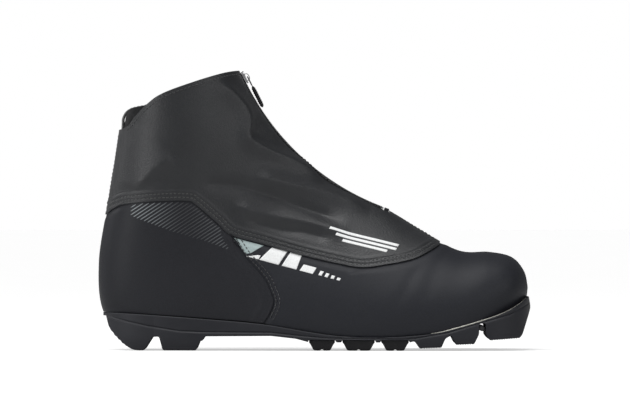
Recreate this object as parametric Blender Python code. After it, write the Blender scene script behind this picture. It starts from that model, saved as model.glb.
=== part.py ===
"""Cross-country ski boot for the right foot, built for Blender 4.5.

Frame: +X towards the toe, +Y towards the medial (inner) side, +Z up, the boot standing on its
tread at Z = 0.  Every length below is in millimetres and is scaled to metres when a mesh is made.

The upper is drawn like a ship's hull: a short list of stations (STATIONS) gives the height and
breadth of the last, and every sewn layer is that same skin at its own depth (inset), trimmed by
seam lines drawn in side view.
"""

import math

import bmesh
import bpy
from mathutils import Matrix, Vector

MM = 0.001
GAP = 0.3  # clearance left between neighbouring pieces
SIDES = {"left": 1.0, "right": -1.0}  # medial and lateral half of this right boot

# The zip lies on one circular arc in the middle plane, so its slider can turn about the centre.
ZIP_X, ZIP_Z, ZIP_R = 109.5, 263.9, 175.5
ZIP_TOP, ZIP_END = 66.0, 20.5  # arc angle of the first and last tooth, degrees from straight down
SLIDER_AT = 65.1  # arc angle of the slider's middle when the zip is closed
PIVOT = (0.4, 2.95)  # the pull's pivot: down the zip and out of it, from the slider's middle
PULL_LIFT = 1.8  # degrees that the hanging pull stands off the zip's tangent
EDGE_Y = 5.5  # the cover's edge stands this far from the middle plane beside the zip

# The line that each front band of the cover turns about as the zip opens: a point at the back of
# the collar, and the direction of the medial side's line, which the lateral side mirrors in Y.
SPREAD_AT = (-138.0, 0.0, 152.0)
SPREAD_AXIS = (-0.895350, -0.180879, 0.406977)

# Depth of each layer's outer and inner face below the outer skin.
COVER = (0.0, 1.4)
SHELL = (0.0, 1.5)
STIFFENER = (1.9, 3.1)
LINER = (3.5, 6.3)
TAPE = (1.9, 2.4)
TEETH = (-0.6, 1.5)
EYESTAY = (6.9, 7.9)
TONGUE = (9.0, 12.2)
LACE_DEPTH, LACE_HALF = 5.9, 0.45
FRONT_BAND = 24.0  # width of the strip beside the zip that spreads when it opens

# Side-view seam lines as (x, z), from the heel to the toe.
HEM = [
    (-176, 80), (-147.4, 93.8), (-140.4, 98.6), (-130, 102.2), (-104.7, 104), (-88, 104),
    (-82.5, 101.5), (-68.3, 89.3), (-57.8, 80.2), (-35.4, 73.9), (-10, 66.6), (16.6, 60.4),
    (33, 57.8), (49.8, 59.8), (67, 63.2), (78, 68), (89.5, 75.3), (112, 92),
]
HEEL_SEAM = [
    (-58.6, 81.6), (-49.4, 66.2), (-36.2, 51.2), (-30.4, 40), (-28.7, 33.5), (-31.5, 25.8),
    (-37, 17), (-41, 8),
]
COLLAR = [
    (-38, 196.5), (-50.8, 195.6), (-66, 193.2), (-94, 184.5), (-108, 179), (-115.5, 173.5),
    (-121, 168), (-126.5, 161), (-132, 155), (-146, 152),
]
# The lining's own top edge: under the collar, but standing up in its dip at the heel.
LINER_RIM = [
    (-38, 195.2), (-51, 194.3), (-66.4, 191.9), (-94.4, 183.2), (-108.5, 177.8), (-114.6, 173.2),
    (-119.6, 169.2), (-124.4, 168.2), (-128, 167), (-130.2, 165.2), (-131.8, 162.4), (-134, 156),
    (-146, 152),
]
FEATHER = [
    (-176, 27), (-144.4, 26.6), (-117, 25.2), (-77, 22.3), (-37, 18.8), (-10, 14.4), (16.5, 10.6),
    (48.7, 9.6), (81, 12), (97, 15.4), (118.4, 21.6), (134.5, 27.6), (144.6, 34), (151, 38.6), (176, 52),
]

# The tread's side profile from heel to toe: (x, z) of the outsole's underside.
HEEL_TREAD = [
    (-145.6, 24), (-143.4, 15.5), (-139, 10), (-132.7, 3.8), (-126.4, 0.4), (-123, 0), (-118.5, 0),
    (-115.8, 4.2), (-112.6, 9.4), (-108.2, 9.6), (-105.6, 0), (-82.3, 0), (-79.6, 6.6), (-77.6, 6.8),
    (-76.2, 9.8),
]
ARCH = [(-30, 10.1), (-13, 8.2), (-5.5, 6.2)]
TOE_TREAD = [
    (66.5, 5.9), (69.5, 6.6), (73, 1.4), (88, 1.9), (90.8, 8.4), (94.8, 10.6), (98.2, 3.9),
    (110.8, 4.4), (114.2, 11.2), (114.6, 18.8), (118.8, 18.8), (119.2, 10), (122, 7), (142.6, 8.4),
    (144.8, 11), (147.8, 20), (149.4, 24.8), (151, 29.6),
]
TOE_LIP = [(-200, 90), (149.4, 38.2), (151, 30.6)]  # where the tread turns down over the toe
INSERTS = [(-3.8, 14.2), (19.5, 41.8), (46.6, 65.4)]  # black tread blocks under the ball
INSERT_TOP, BALL_BASE = 7.2, 5.7
GROOVE_Y, GROOVE_HALF = 14.0, 4.5  # the two channels for the binding's guide ridges
BAR_R = 2.0
BARS = {"toe_bar_front": (139.5, 14.6), "toe_bar_rear": (116.7, 15.2)}
BAR_HALF_LENGTH = 23.0
SHANK_X, SHANK_HALF, SHANK_WIDTH, SHANK_THICK = -45.0, 42.0, 16.0, 1.4
SOLE_HEEL_X, SOLE_TOE_X = -147.8, 151.0

EYELET_ANGLES = [29, 35.5, 42, 48.5, 55]
EYELET_Y = 15.0
FOOTBED_THICK, BOARD_THICK = 4.0, 2.0
LOOP_HALF, LOOP_THICK, LOOP_BOW = 8.2, 1.0, 1.1  # the heel loop's webbing
LOOP_BEND = [
    (-134.6, 157.4), (-134.2, 162), (-132, 166), (-129, 168.2), (-125, 169.4), (-120, 170.3),
    (-116, 171.2), (-113.6, 169.6), (-113.4, 165), (-116.2, 158.5), (-121.6, 151.6),
    (-127.4, 146.2), (-130.6, 141.5),
]


# ---------------------------------------------------------------- outlines and interpolation

def catmull(values, at):
    """Value of a smooth curve through evenly numbered values (tuples or numbers)."""
    i = min(int(math.floor(at)), len(values) - 2)
    i = max(i, 0)
    u = at - i
    p0 = values[max(i - 1, 0)]
    p1 = values[i]
    p2 = values[i + 1]
    p3 = values[min(i + 2, len(values) - 1)]
    out = []
    for a, b, c, d in zip(p0, p1, p2, p3):
        out.append(0.5 * (2 * b + (c - a) * u + (2 * a - 5 * b + 4 * c - d) * u * u
                          + (3 * b - a - 3 * c + d) * u ** 3))
    return tuple(out)


def smooth_line(points, steps=3):
    """The points with steps - 1 more between each two, on a smooth curve."""
    count = (len(points) - 1) * steps
    return [catmull(points, k / steps) for k in range(count + 1)]


def offset_line(points, distance):
    """The polyline moved sideways: to its left, seen along it, for a positive distance."""
    moved = []
    for k, (x, z) in enumerate(points):
        ax, az = points[max(k - 1, 0)]
        bx, bz = points[min(k + 1, len(points) - 1)]
        length = math.hypot(bx - ax, bz - az)
        moved.append((x - (bz - az) / length * distance, z + (bx - ax) / length * distance))
    return moved


def crossing(a, b):
    """Where two polylines first cross: the point, and how many points of each lie before it."""
    for i, (p, q) in enumerate(zip(a, a[1:])):
        for j, (r, s) in enumerate(zip(b, b[1:])):
            ux, uz = q[0] - p[0], q[1] - p[1]
            vx, vz = s[0] - r[0], s[1] - r[1]
            turn = ux * vz - uz * vx
            if abs(turn) < 1e-9:
                continue
            t = ((r[0] - p[0]) * vz - (r[1] - p[1]) * vx) / turn
            u = ((r[0] - p[0]) * uz - (r[1] - p[1]) * ux) / turn
            if 0 <= t <= 1 and 0 <= u <= 1:
                return (p[0] + ux * t, p[1] + uz * t), i + 1, j + 1
    raise ValueError("the two lines don't cross")


def before(a, b):
    """Line a up to where it crosses b."""
    point, count, _ = crossing(a, b)
    return a[:count] + [point]


def after(a, b):
    """Line a from where it crosses b."""
    point, count, _ = crossing(a, b)
    return [point] + a[count:]


def height_on(line, x):
    """Height of a heel-to-toe polyline at x."""
    for (ax, az), (bx, bz) in zip(line, line[1:]):
        if ax <= x <= bx and bx > ax:
            return az + (bz - az) * (x - ax) / (bx - ax)
    return line[0][1] if x < line[0][0] else line[-1][1]


def arc_point(angle, depth=0.0):
    """Point of the zip's arc in side view; depth is measured away from the arc's centre."""
    t = math.radians(angle)
    radius = ZIP_R + depth
    return ZIP_X - radius * math.sin(t), ZIP_Z - radius * math.cos(t)


def arc_line(depth, start, end, steps=12):
    return [arc_point(start + (end - start) * k / steps, depth) for k in range(steps + 1)]


HEM_LINE = smooth_line(HEM)
HEEL_SEAM_LINE = smooth_line(HEEL_SEAM)
COLLAR_LINE = smooth_line(COLLAR, 2)
FEATHER_LINE = smooth_line(FEATHER)

# ---------------------------------------------------------------- the last

# Each station, from the collar to the toe: top x, top z, bottom x, bottom z, lateral and medial
# half breadth, height share of the widest point, and the powers that round the section below and
# above it.
STATIONS = [
    (*arc_point(78), -132.5, 212, 37, 37, 0.48, 0.45, 0.50),
    (*arc_point(67), -136.3, 158, 38.5, 38.5, 0.46, 0.45, 0.50),
    (*arc_point(58), -144.0, 107, 38.5, 38.5, 0.42, 0.44, 0.50),
    (*arc_point(51), -151.0, 60, 36.5, 36.5, 0.36, 0.42, 0.52),
    (*arc_point(45), -146.5, 24, 35.5, 35.5, 0.32, 0.38, 0.54),
    (*arc_point(38), -122, 3, 36.5, 36.0, 0.28, 0.33, 0.58),
    (*arc_point(30), -70, 2, 38.5, 37.5, 0.28, 0.30, 0.60),
    (*arc_point(21), -16, -2, 43.0, 41.5, 0.28, 0.29, 0.60),
    (75, 83.2, 42, -6, 48.6, 47.0, 0.29, 0.29, 0.55),
    (101, 69.4, 88, -3, 48.5, 49.0, 0.32, 0.30, 0.46),
    (122, 68.4, 118, 8, 43.5, 46.5, 0.34, 0.32, 0.42),
    (138, 64.8, 137, 20, 34.0, 38.0, 0.36, 0.38, 0.42),
    (146.6, 55, 146.6, 31, 18.0, 23.0, 0.40, 0.45, 0.45),
    (149.2, 43.6, 149.2, 43.2, 0.2, 0.2, 0.50, 0.50, 0.50),
]
TOE_FROM = 9.0  # stations beyond this one shrink towards the middle of the toe
TOE_CENTRE = (104.0, 38.0)
LAST_STATION = len(STATIONS) - 1


def station(s, inset):
    """Station s with its top, bottom and breadth drawn in by inset."""
    tx, tz, bx, bz, lateral, medial, widest, low, high = catmull(STATIONS, s)
    length = math.hypot(tx - bx, tz - bz)
    ux, uz = (tx - bx) / max(length, 1e-6), (tz - bz) / max(length, 1e-6)
    along = [(tx - ux * inset, tz - uz * inset), (bx + ux * inset, bz + uz * inset)]
    share = min(max((s - TOE_FROM) / 2.0, 0.0), 1.0)
    ends = []
    for (x, z), (ax, az) in zip(((tx, tz), (bx, bz)), along):
        cx, cz = x - TOE_CENTRE[0], z - TOE_CENTRE[1]
        reach = math.hypot(cx, cz)
        rx, rz = x - cx / reach * inset, z - cz / reach * inset
        ends.append((ax + (rx - ax) * share, az + (rz - az) * share))
    straight = (lateral - inset, medial - inset)
    scaled = (lateral * (1 - inset / 45.0), medial * (1 - inset / 45.0))
    lateral, medial = (a + (b - a) * share for a, b in zip(straight, scaled))
    return ends[0], ends[1], lateral, medial, widest, low, high


def breadth(h, widest, low, high):
    """Half breadth of a section, as a share of its largest, at height share h."""
    h = min(max(h, 0.0), 1.0)
    return (h / widest) ** low * ((1 - h) / (1 - widest)) ** high


def skin_point(s, phi, inset):
    """Point of the skin: phi runs from the sole (0) up the lateral side and over the top (pi)."""
    (tx, tz), (bx, bz), lateral, medial, widest, low, high = station(s, inset)
    h = (1 - math.cos(phi)) / 2
    share = 0.0 if h < 1e-9 or h > 1 - 1e-9 else breadth(h, widest, low, high)
    y = -lateral * share if phi <= math.pi else medial * share
    return Vector((bx + (tx - bx) * h, y, bz + (tz - bz) * h))


def half_breadth(x, z, side, inset):
    """Half breadth of the skin at a side-view point; side is -1 lateral or +1 medial."""
    def off(s):
        (tx, tz), (bx, bz) = station(s, inset)[:2]
        return (tx - bx) * (z - bz) - (tz - bz) * (x - bx)
    low_s, high_s = 0.0, LAST_STATION - 0.001
    if off(low_s) * off(high_s) > 0:
        return 0.0
    for _ in range(40):
        middle = (low_s + high_s) / 2
        if off(low_s) * off(middle) <= 0:
            high_s = middle
        else:
            low_s = middle
    (tx, tz), (bx, bz), lateral, medial, widest, low, high = station(low_s, inset)
    h = ((x - bx) * (tx - bx) + (z - bz) * (tz - bz)) / ((tx - bx) ** 2 + (tz - bz) ** 2)
    if not 0 < h < 1:
        return 0.0
    return (lateral if side < 0 else medial) * breadth(h, widest, low, high)


def back_x(z, inset):
    """Where the back of the boot stands at height z."""
    low_s, high_s = 0.0, 5.0
    for _ in range(40):
        middle = (low_s + high_s) / 2
        if station(middle, inset)[1][1] > z:
            low_s = middle
        else:
            high_s = middle
    return station(low_s, inset)[1][0]


def station_of_angle(angle):
    """The station number whose top is at this angle of the zip's arc."""
    low_s, high_s = 0.0, 8.0
    for _ in range(40):
        middle = (low_s + high_s) / 2
        tx, tz = catmull(STATIONS, middle)[:2]
        if math.degrees(math.atan2(ZIP_X - tx, ZIP_Z - tz)) > angle:
            low_s = middle
        else:
            high_s = middle
    return low_s


def top_point(angle, y, inset):
    """Point of the skin over the instep, at an angle of the zip's arc and y from the middle."""
    (tx, tz), (bx, bz), lateral, medial, widest, low, high = station(station_of_angle(angle), inset)
    want = abs(y) / (lateral if y < 0 else medial)
    below, above = widest, 1.0
    for _ in range(40):
        middle = (below + above) / 2
        if breadth(middle, widest, low, high) > want:
            below = middle
        else:
            above = middle
    h = 1.0 if abs(y) < 1e-6 else below
    return Vector((bx + (tx - bx) * h, y, bz + (tz - bz) * h))


def top_normal(angle, y, inset):
    """Outward normal of the skin over the instep."""
    step = 0.5
    along = top_point(angle - step, y, inset) - top_point(angle + step, y, inset)
    across = top_point(angle, y + step, inset) - top_point(angle, y - step, inset)
    return along.cross(across).normalized()


# ---------------------------------------------------------------- making objects

def clear_scene():
    for obj in list(bpy.data.objects):
        bpy.data.objects.remove(obj, do_unlink=True)


def material(name, colour, roughness, metallic=0.0):
    made = bpy.data.materials.new(name)
    made.use_nodes = True
    shader = made.node_tree.nodes["Principled BSDF"]
    shader.inputs["Base Color"].default_value = (*colour, 1.0)
    shader.inputs["Roughness"].default_value = roughness
    shader.inputs["Metallic"].default_value = metallic
    made.diffuse_color = (*colour, 1.0)
    return made


def add_mesh(name, points, faces, look, smooth_angle=40):
    """One object from points in millimetres, its faces turned outwards."""
    mesh = bpy.data.meshes.new(name)
    mesh.from_pydata([tuple(c * MM for c in p) for p in points], [], faces)
    work = bmesh.new()
    work.from_mesh(mesh)
    bmesh.ops.remove_doubles(work, verts=work.verts, dist=1e-6)
    bmesh.ops.recalc_face_normals(work, faces=work.faces)
    work.to_mesh(mesh)
    work.free()
    mesh.materials.append(look)
    mesh.shade_smooth()
    mesh.set_sharp_from_angle(angle=math.radians(smooth_angle))
    obj = bpy.data.objects.new(name, mesh)
    bpy.context.scene.collection.objects.link(obj)
    return obj


def helper(obj):
    """Marks a cutter, which is not part of the boot."""
    obj.hide_render = True
    obj.display_type = "WIRE"
    return obj


def boolean(obj, other, operation):
    cut = obj.modifiers.new(f"{operation.lower()}_{other.name}", "BOOLEAN")
    cut.operation = operation
    cut.solver = "EXACT"
    cut.object = other
    return obj


def axis_empty(name, place, parent=None, direction=None):
    """An empty on a joint's axis; its Z lies along direction where one is given."""
    empty = bpy.data.objects.new(name, None)
    empty.empty_display_size = 10 * MM
    empty.location = Vector(place) * MM
    if direction:
        empty.rotation_euler = Vector((0, 0, 1)).rotation_difference(Vector(direction)).to_euler()
    bpy.context.scene.collection.objects.link(empty)
    if parent:
        keep_place(empty, parent)
    return empty


def keep_place(obj, parent):
    """Parents an object without moving it."""
    obj.parent = parent
    world = parent.matrix_basis
    if parent.parent:
        world = parent.parent.matrix_basis @ parent.matrix_parent_inverse @ world
    obj.matrix_parent_inverse = world.inverted()


def hang_on(empty, pieces):
    """Makes pieces, and the cutters that shape them, follow the empty of their joint."""
    for piece in pieces:
        keep_place(piece, empty)
        for modifier in piece.modifiers:
            keep_place(modifier.object, empty)


def prism(name, outline, y0, y1, look):
    """A closed side-view outline pushed across the boot from y0 to y1."""
    count = len(outline)
    points = [(x, y0, z) for x, z in outline] + [(x, y1, z) for x, z in outline]
    faces = [tuple(range(count)), tuple(range(2 * count - 1, count - 1, -1))]
    for k in range(count):
        n = (k + 1) % count
        faces.append((k, n, count + n, count + k))
    return add_mesh(name, points, faces, look)


def grid_solid(name, outer, inner, look):
    """A plate from two grids of points of the same shape, joined round their edges."""
    rows, columns = len(outer), len(outer[0])
    points = [p for row in outer for p in row] + [p for row in inner for p in row]
    base = rows * columns
    faces = []
    for i in range(rows - 1):
        for j in range(columns - 1):
            a, b = i * columns + j, i * columns + j + 1
            c, d = b + columns, a + columns
            faces.append((a, b, c, d))
            faces.append((base + d, base + c, base + b, base + a))
    rim = [j for j in range(columns)]
    rim += [i * columns + columns - 1 for i in range(1, rows)]
    rim += [(rows - 1) * columns + j for j in range(columns - 2, -1, -1)]
    rim += [i * columns for i in range(rows - 2, 0, -1)]
    for k, a in enumerate(rim):
        b = rim[(k + 1) % len(rim)]
        faces.append((b, a, base + a, base + b))
    return add_mesh(name, points, faces, look)


def box(name, centre, sizes, look, turn=None):
    """A box; turn is a rotation matrix about its centre."""
    turn = turn or Matrix.Identity(3)
    points = []
    for sx in (-0.5, 0.5):
        for sy in (-0.5, 0.5):
            for sz in (-0.5, 0.5):
                corner = turn @ Vector((sx * sizes[0], sy * sizes[1], sz * sizes[2]))
                points.append(Vector(centre) + corner)
    faces = [(0, 1, 3, 2), (4, 6, 7, 5), (0, 4, 5, 1), (2, 3, 7, 6), (0, 2, 6, 4), (1, 5, 7, 3)]
    return add_mesh(name, points, faces, look)


def lathe(name, profile, centre, axis, look, segments=12):
    """A closed profile of (radius, height) turned about axis."""
    turn = Vector((0, 0, 1)).rotation_difference(Vector(axis)).to_matrix()
    points = []
    for k in range(segments):
        a = 2 * math.pi * k / segments
        for radius, height in profile:
            local = Vector((radius * math.cos(a), radius * math.sin(a), height))
            points.append(Vector(centre) + turn @ local)
    count = len(profile)
    faces = []
    for k in range(segments):
        n = (k + 1) % segments
        for j in range(count):
            m = (j + 1) % count
            faces.append((k * count + j, n * count + j, n * count + m, k * count + m))
    return add_mesh(name, points, faces, look)


def rod(name, start, end, radius, look, segments=14):
    """A solid round bar."""
    axis = (Vector(end) - Vector(start))
    turn = Vector((0, 0, 1)).rotation_difference(axis.normalized()).to_matrix()
    points = []
    for at in (start, end):
        for k in range(segments):
            a = 2 * math.pi * k / segments
            points.append(Vector(at) + turn @ Vector((radius * math.cos(a), radius * math.sin(a), 0)))
    faces = [tuple(range(segments - 1, -1, -1)), tuple(range(segments, 2 * segments))]
    for k in range(segments):
        n = (k + 1) % segments
        faces.append((k, n, segments + n, segments + k))
    return add_mesh(name, points, faces, look)


# ---------------------------------------------------------------- sewn layers

RING = 24  # points round each section
STATION_STEPS = [0, 0.5, 1, 1.5, 2, 2.5, 3, 3.5, 4, 4.5, 5, 5.5, 6, 6.5, 7, 7.5, 8,
                 8.5, 9, 9.5, 10, 10.5, 11, 11.4, 11.8, 12.2, 12.6]


def full_shell(name, layer, look):
    """The whole skin between two depths, open only at the collar."""
    points, faces = [], []
    wall = []
    for depth in layer:
        first = len(points)
        for s in STATION_STEPS:
            for k in range(RING):
                points.append(skin_point(s, 2 * math.pi * k / RING, depth))
        tip = len(points)
        points.append(skin_point(LAST_STATION - 0.01, math.pi / 2, depth))
        wall.append((first, tip))
    rows = len(STATION_STEPS)
    for turn, (first, tip) in enumerate(wall):
        for i in range(rows - 1):
            for k in range(RING):
                n = (k + 1) % RING
                quad = (first + i * RING + k, first + i * RING + n,
                        first + (i + 1) * RING + n, first + (i + 1) * RING + k)
                faces.append(quad if turn else quad[::-1])
        last = first + (rows - 1) * RING
        for k in range(RING):
            n = (k + 1) % RING
            faces.append((last + k, last + n, tip) if turn else (last + n, last + k, tip))
    for k in range(RING):
        n = (k + 1) % RING
        faces.append((wall[0][0] + k, wall[0][0] + n, wall[1][0] + n, wall[1][0] + k))
    return add_mesh(name, points, faces, look)


def sewn_panel(name, layer, outline, look, y0=-80.0, y1=80.0):
    """A layer of the skin trimmed to a side-view outline."""
    panel = full_shell(name, layer, look)
    cutter = helper(prism(f"{name}_outline", outline, y0, y1, look))
    return boolean(panel, cutter, "INTERSECT")


def spread_axis(sign):
    """The axis that one half of the cover spreads about."""
    return SPREAD_AXIS[0] * sign, SPREAD_AXIS[1], SPREAD_AXIS[2] * sign


def build_cover(look, spread):
    """The softshell lace cover: two sewn halves, each with a front band that carries the zip."""
    hem = offset_line(HEM_LINE, GAP / 2)
    band_low = ZIP_END - 1.5
    band_edge = arc_line(FRONT_BAND, band_low, 72.0)
    cuff_edge = arc_line(FRONT_BAND + GAP, band_low - 0.2, 72.0)
    rear = hem + [(118, 104)] + arc_line(-15, 4, band_low - 0.2, 4)
    rear += before(cuff_edge, COLLAR_LINE) + after(COLLAR_LINE, cuff_edge)[1:] + [(-176, 151)]
    front = before(band_edge, COLLAR_LINE) + before(COLLAR_LINE, band_edge)[-2::-1]
    front += arc_line(-15, 72, band_low)
    for side, sign in SIDES.items():
        y0, y1 = sorted((sign * GAP / 2, sign * 80.0))
        sewn_panel(f"cuff_{side}", COVER, rear, look, y0, y1)
        y0, y1 = sorted((sign * EDGE_Y, sign * 80.0))
        band = sewn_panel(f"cover_front_{side}", COVER, front, look, y0, y1)
        hang_on(spread[side], [band])


def build_lower(shell_look, overlay_look, stiff_look):
    """Vamp, heel panel and the stiffeners inside them."""
    hem = offset_line(HEM_LINE, -GAP / 2)
    toe_up = [(-176, 27)] + FEATHER_LINE[1:]
    rear_seam = offset_line(HEEL_SEAM_LINE, -GAP / 2)
    front_seam = offset_line(HEEL_SEAM_LINE, GAP / 2)
    heel = before(hem, rear_seam) + before(after(rear_seam, hem), toe_up)[1:]
    heel += before(toe_up, rear_seam)[-2::-1]
    sewn_panel("heel_panel", SHELL, heel, overlay_look)
    vamp = before(after(front_seam, hem), toe_up)[::-1] + after(hem, front_seam)[1:] + [(176, 92)]
    vamp += after(toe_up, front_seam)[:0:-1]
    sewn_panel("vamp", SHELL, vamp, shell_look)
    low = [(x, z + 0.4) for x, z in toe_up]
    counter_top = smooth_line([(-176, 80), (-142, 84), (-112, 80), (-80, 52), (-66, 32), (-60, 12)])
    counter = before(counter_top, low) + before(low, counter_top)[-2::-1]
    sewn_panel("heel_counter", STIFFENER, counter, stiff_look)
    puff_edge = smooth_line([(112, 12), (105, 34), (103, 52), (112, 84)])
    puff = after(puff_edge, low) + [(176, 84)] + after(low, puff_edge)[:0:-1]
    sewn_panel("toe_puff", STIFFENER, puff, stiff_look)


def build_liner(look):
    """The insulated lining, open over the instep where the tongue lies."""
    collar = smooth_line(LINER_RIM, 2)
    throat = arc_line(31, 74, 26)
    low = [(x, z + 0.4) for x, z in [(-176, 27)] + FEATHER_LINE[1:]]
    rear_collar = after(collar, throat)
    outline = [(-176, 150)] + rear_collar[::-1] + after(throat, collar)[1:]
    outline += [(70, 66), (84, 70), (84, 110), (176, 110)] + low[::-1]
    sewn_panel("liner", LINER, outline, look)


# ---------------------------------------------------------------- throat: tongue, eyestays, laces

def throat_band(top, low, far=26.0):
    """Side-view outline of a length of the instep, between two angles of the zip's arc."""
    return arc_line(-15, top, low) + arc_line(far, low, top)


def build_tongue(look):
    sewn_panel("tongue", TONGUE, throat_band(65, 20, 34), look, -22, 22)


def build_eyestays(look, metal):
    """A reinforced strip each side of the throat, with a row of eyelets."""
    for side, sign in SIDES.items():
        y0, y1 = sorted((sign * 10.0, sign * 21.5))
        stay = sewn_panel(f"eyestay_{side}", EYESTAY, throat_band(58, 25), look, y0, y1)
        for k, angle in enumerate(EYELET_ANGLES):
            middle = top_point(angle, sign * EYELET_Y, EYESTAY[0])
            axis = top_normal(angle, sign * EYELET_Y, EYESTAY[0])
            drill = helper(rod(f"hole_{side}_{k}", middle - axis * 5, middle + axis * 5, 2.5, metal, 10))
            boolean(stay, drill, "DIFFERENCE")
            flange = [(1.5, -1.3), (2.1, -1.3), (2.1, 0.35), (3.1, 0.35), (3.1, 0.8), (1.5, 0.8)]
            lathe(f"eyelet_{side}_{k + 1}", flange, middle, axis, metal, 8)


def build_lace(look):
    """One flat lace, drawn as straight bars over the tongue between the eyelets."""
    reach, half_angle = 11.4, 1.0
    for k, angle in enumerate(EYELET_ANGLES):
        outer, inner = [], []
        for share in (-1, -0.6, -0.2, 0.2, 0.6, 1):
            y = reach * share
            rows = (LACE_DEPTH - LACE_HALF, LACE_DEPTH + LACE_HALF)
            edges = [[top_point(angle + turn, y, depth) for turn in (-half_angle, half_angle)]
                     for depth in rows]
            outer.append(edges[0])
            inner.append(edges[1])
        grid_solid(f"lace_bar_{k + 1}", outer, inner, look)


# ---------------------------------------------------------------- zip

def build_zip(tape_look, tooth_look, metal, grip_look, spread):
    """The zip: a tape and a row of teeth each side, the stop at its foot, the slider and its pull."""
    for side, sign in SIDES.items():
        y0, y1 = sorted((sign * 0.8, sign * 12.0))
        band = throat_band(66.8, ZIP_END - 0.6)
        tape = sewn_panel(f"zip_tape_{side}", TAPE, band, tape_look, y0, y1)
        y0, y1 = sorted((sign * 0.6, sign * 2.8))
        band = throat_band(ZIP_TOP, ZIP_END)
        teeth = sewn_panel(f"zip_teeth_{side}", TEETH, band, tooth_look, y0, y1)
        hang_on(spread[side], [tape, teeth])
    stop_at = top_point(ZIP_END - 0.9, 0, 0.6)
    box("zip_bottom_stop", stop_at, (2.2, 6.0, 2.2), metal, arc_turn(ZIP_END - 0.9))
    build_slider(metal, grip_look)


def arc_turn(angle):
    """Rotation whose local X runs down the zip and whose local Z stands out of it."""
    t = math.radians(angle)
    down = Vector((math.cos(t), 0, -math.sin(t)))
    out = Vector((math.sin(t), 0, math.cos(t)))
    return Matrix((down, out.cross(down), out)).transposed()


def build_slider(metal, grip_look):
    """Slider body, its bail, the wire link and the grip; the last two swing about the bail."""
    turn = arc_turn(SLIDER_AT)
    origin = Vector((ZIP_X, 0, ZIP_Z)) + turn @ Vector((0, 0, -ZIP_R))

    def at(down, out):
        return origin + turn @ Vector((down, 0, out))

    body = box("zip_slider", at(0, 1.5), (9.0, 8.6, 1.1), metal, turn)
    post = helper(box("slider_post", at(-3.9, -1.1), (0.9, 0.8, 5.8), metal, turn))
    floor = helper(box("slider_floor", at(-0.4, -3.7), (8.0, 7.0, 0.7), metal, turn))
    boolean(body, post, "UNION")
    boolean(body, floor, "UNION")
    bail = helper(box("slider_bail", at(0.4, 2.9), (5.6, 1.6, 2.6), metal, turn))
    boolean(body, bail, "UNION")
    window = helper(box("bail_window", at(0.4, 2.95), (3.8, 4.0, 1.5), metal, turn))
    boolean(body, window, "DIFFERENCE")
    travel = axis_empty("zip_travel_axis", (ZIP_X, 0, ZIP_Z))
    hang_on(travel, [body])
    pivot = at(*PIVOT)
    swing = axis_empty("zip_pull_axis", pivot, travel)
    hang = Matrix.Rotation(math.radians(-PULL_LIFT), 3, "Y") @ turn
    link = bpy.data.curves.new("zip_pull_link", "CURVE")
    link.dimensions = "3D"
    link.bevel_depth = 0.5 * MM
    link.bevel_resolution = 1
    path = link.splines.new("POLY")
    corners = [(0, -2.3), (0.6, -3.0), (5.4, -3.0), (6.0, -2.4)]
    corners += [(down, -y) for down, y in reversed(corners)]
    path.points.add(len(corners) - 1)
    for slot, (down, y) in zip(path.points, corners):
        slot.co = (*(pivot + hang @ Vector((down, y, 0))) * MM, 1.0)
    path.use_cyclic_u = True
    link.materials.append(metal)
    wire = bpy.data.objects.new("zip_pull_link", link)
    bpy.context.scene.collection.objects.link(wire)
    grip = box("zip_pull_grip", pivot + hang @ Vector((14.3, 0, 0)), (19.0, 4.2, 2.0), grip_look, hang)
    hole = helper(box("grip_hole", pivot + hang @ Vector((6.0, 0, 0)), (1.5, 9, 1.4), metal, hang))
    boolean(grip, hole, "DIFFERENCE")
    hang_on(swing, [wire, grip])


# ---------------------------------------------------------------- heel loop

def build_heel_loop(look):
    """Webbing sewn between the cuff and the lining; it arches over the collar and ends inside."""
    route = [(back_x(z, 2.45), z) for z in (143.0, 148.0, 153.0)]
    route += LOOP_BEND
    outer, inner = [], []
    for k, (x, z) in enumerate(route):
        ax, az = route[max(k - 1, 0)]
        bx, bz = route[min(k + 1, len(route) - 1)]
        length = math.hypot(bx - ax, bz - az)
        nx, nz = -(bz - az) / length * LOOP_THICK / 2, (bx - ax) / length * LOOP_THICK / 2
        outer.append([(x + LOOP_BOW * abs(s) + nx, LOOP_HALF * s, z + nz) for s in (-1, 0, 1)])
        inner.append([(x + LOOP_BOW * abs(s) - nx, LOOP_HALF * s, z - nz) for s in (-1, 0, 1)])
    grid_solid("heel_loop", outer, inner, look)


# ---------------------------------------------------------------- sole

def sole_half(x, side):
    """Half breadth of the outsole's rim: the upper at the feather line and a small welt."""
    def at_feather(px):
        return half_breadth(px, height_on(FEATHER_LINE, px) + 1, side, 0.0) + 1.2
    heel_from, toe_from = -112.0, 116.0
    if x < heel_from:
        share = min((heel_from - x) / (heel_from - SOLE_HEEL_X), 1.0)
        return at_feather(heel_from) * (1 - share ** 2.2) ** 0.5
    if x > toe_from:
        share = min((x - toe_from) / (SOLE_TOE_X - toe_from), 1.0)
        return at_feather(toe_from) * (1 - share ** 2.4) ** (1 / 2.4)
    return at_feather(x)


def underside():
    """The whole side profile of the outsole's underside, heel to toe."""
    ball = []
    for low, high in INSERTS:
        ball += [(low - 0.8, BALL_BASE), (low - 0.4, INSERT_TOP)]
        ball += [(high + 0.4, INSERT_TOP), (high + 0.8, BALL_BASE)]
    return HEEL_TREAD + ARCH + ball + TOE_TREAD


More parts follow.
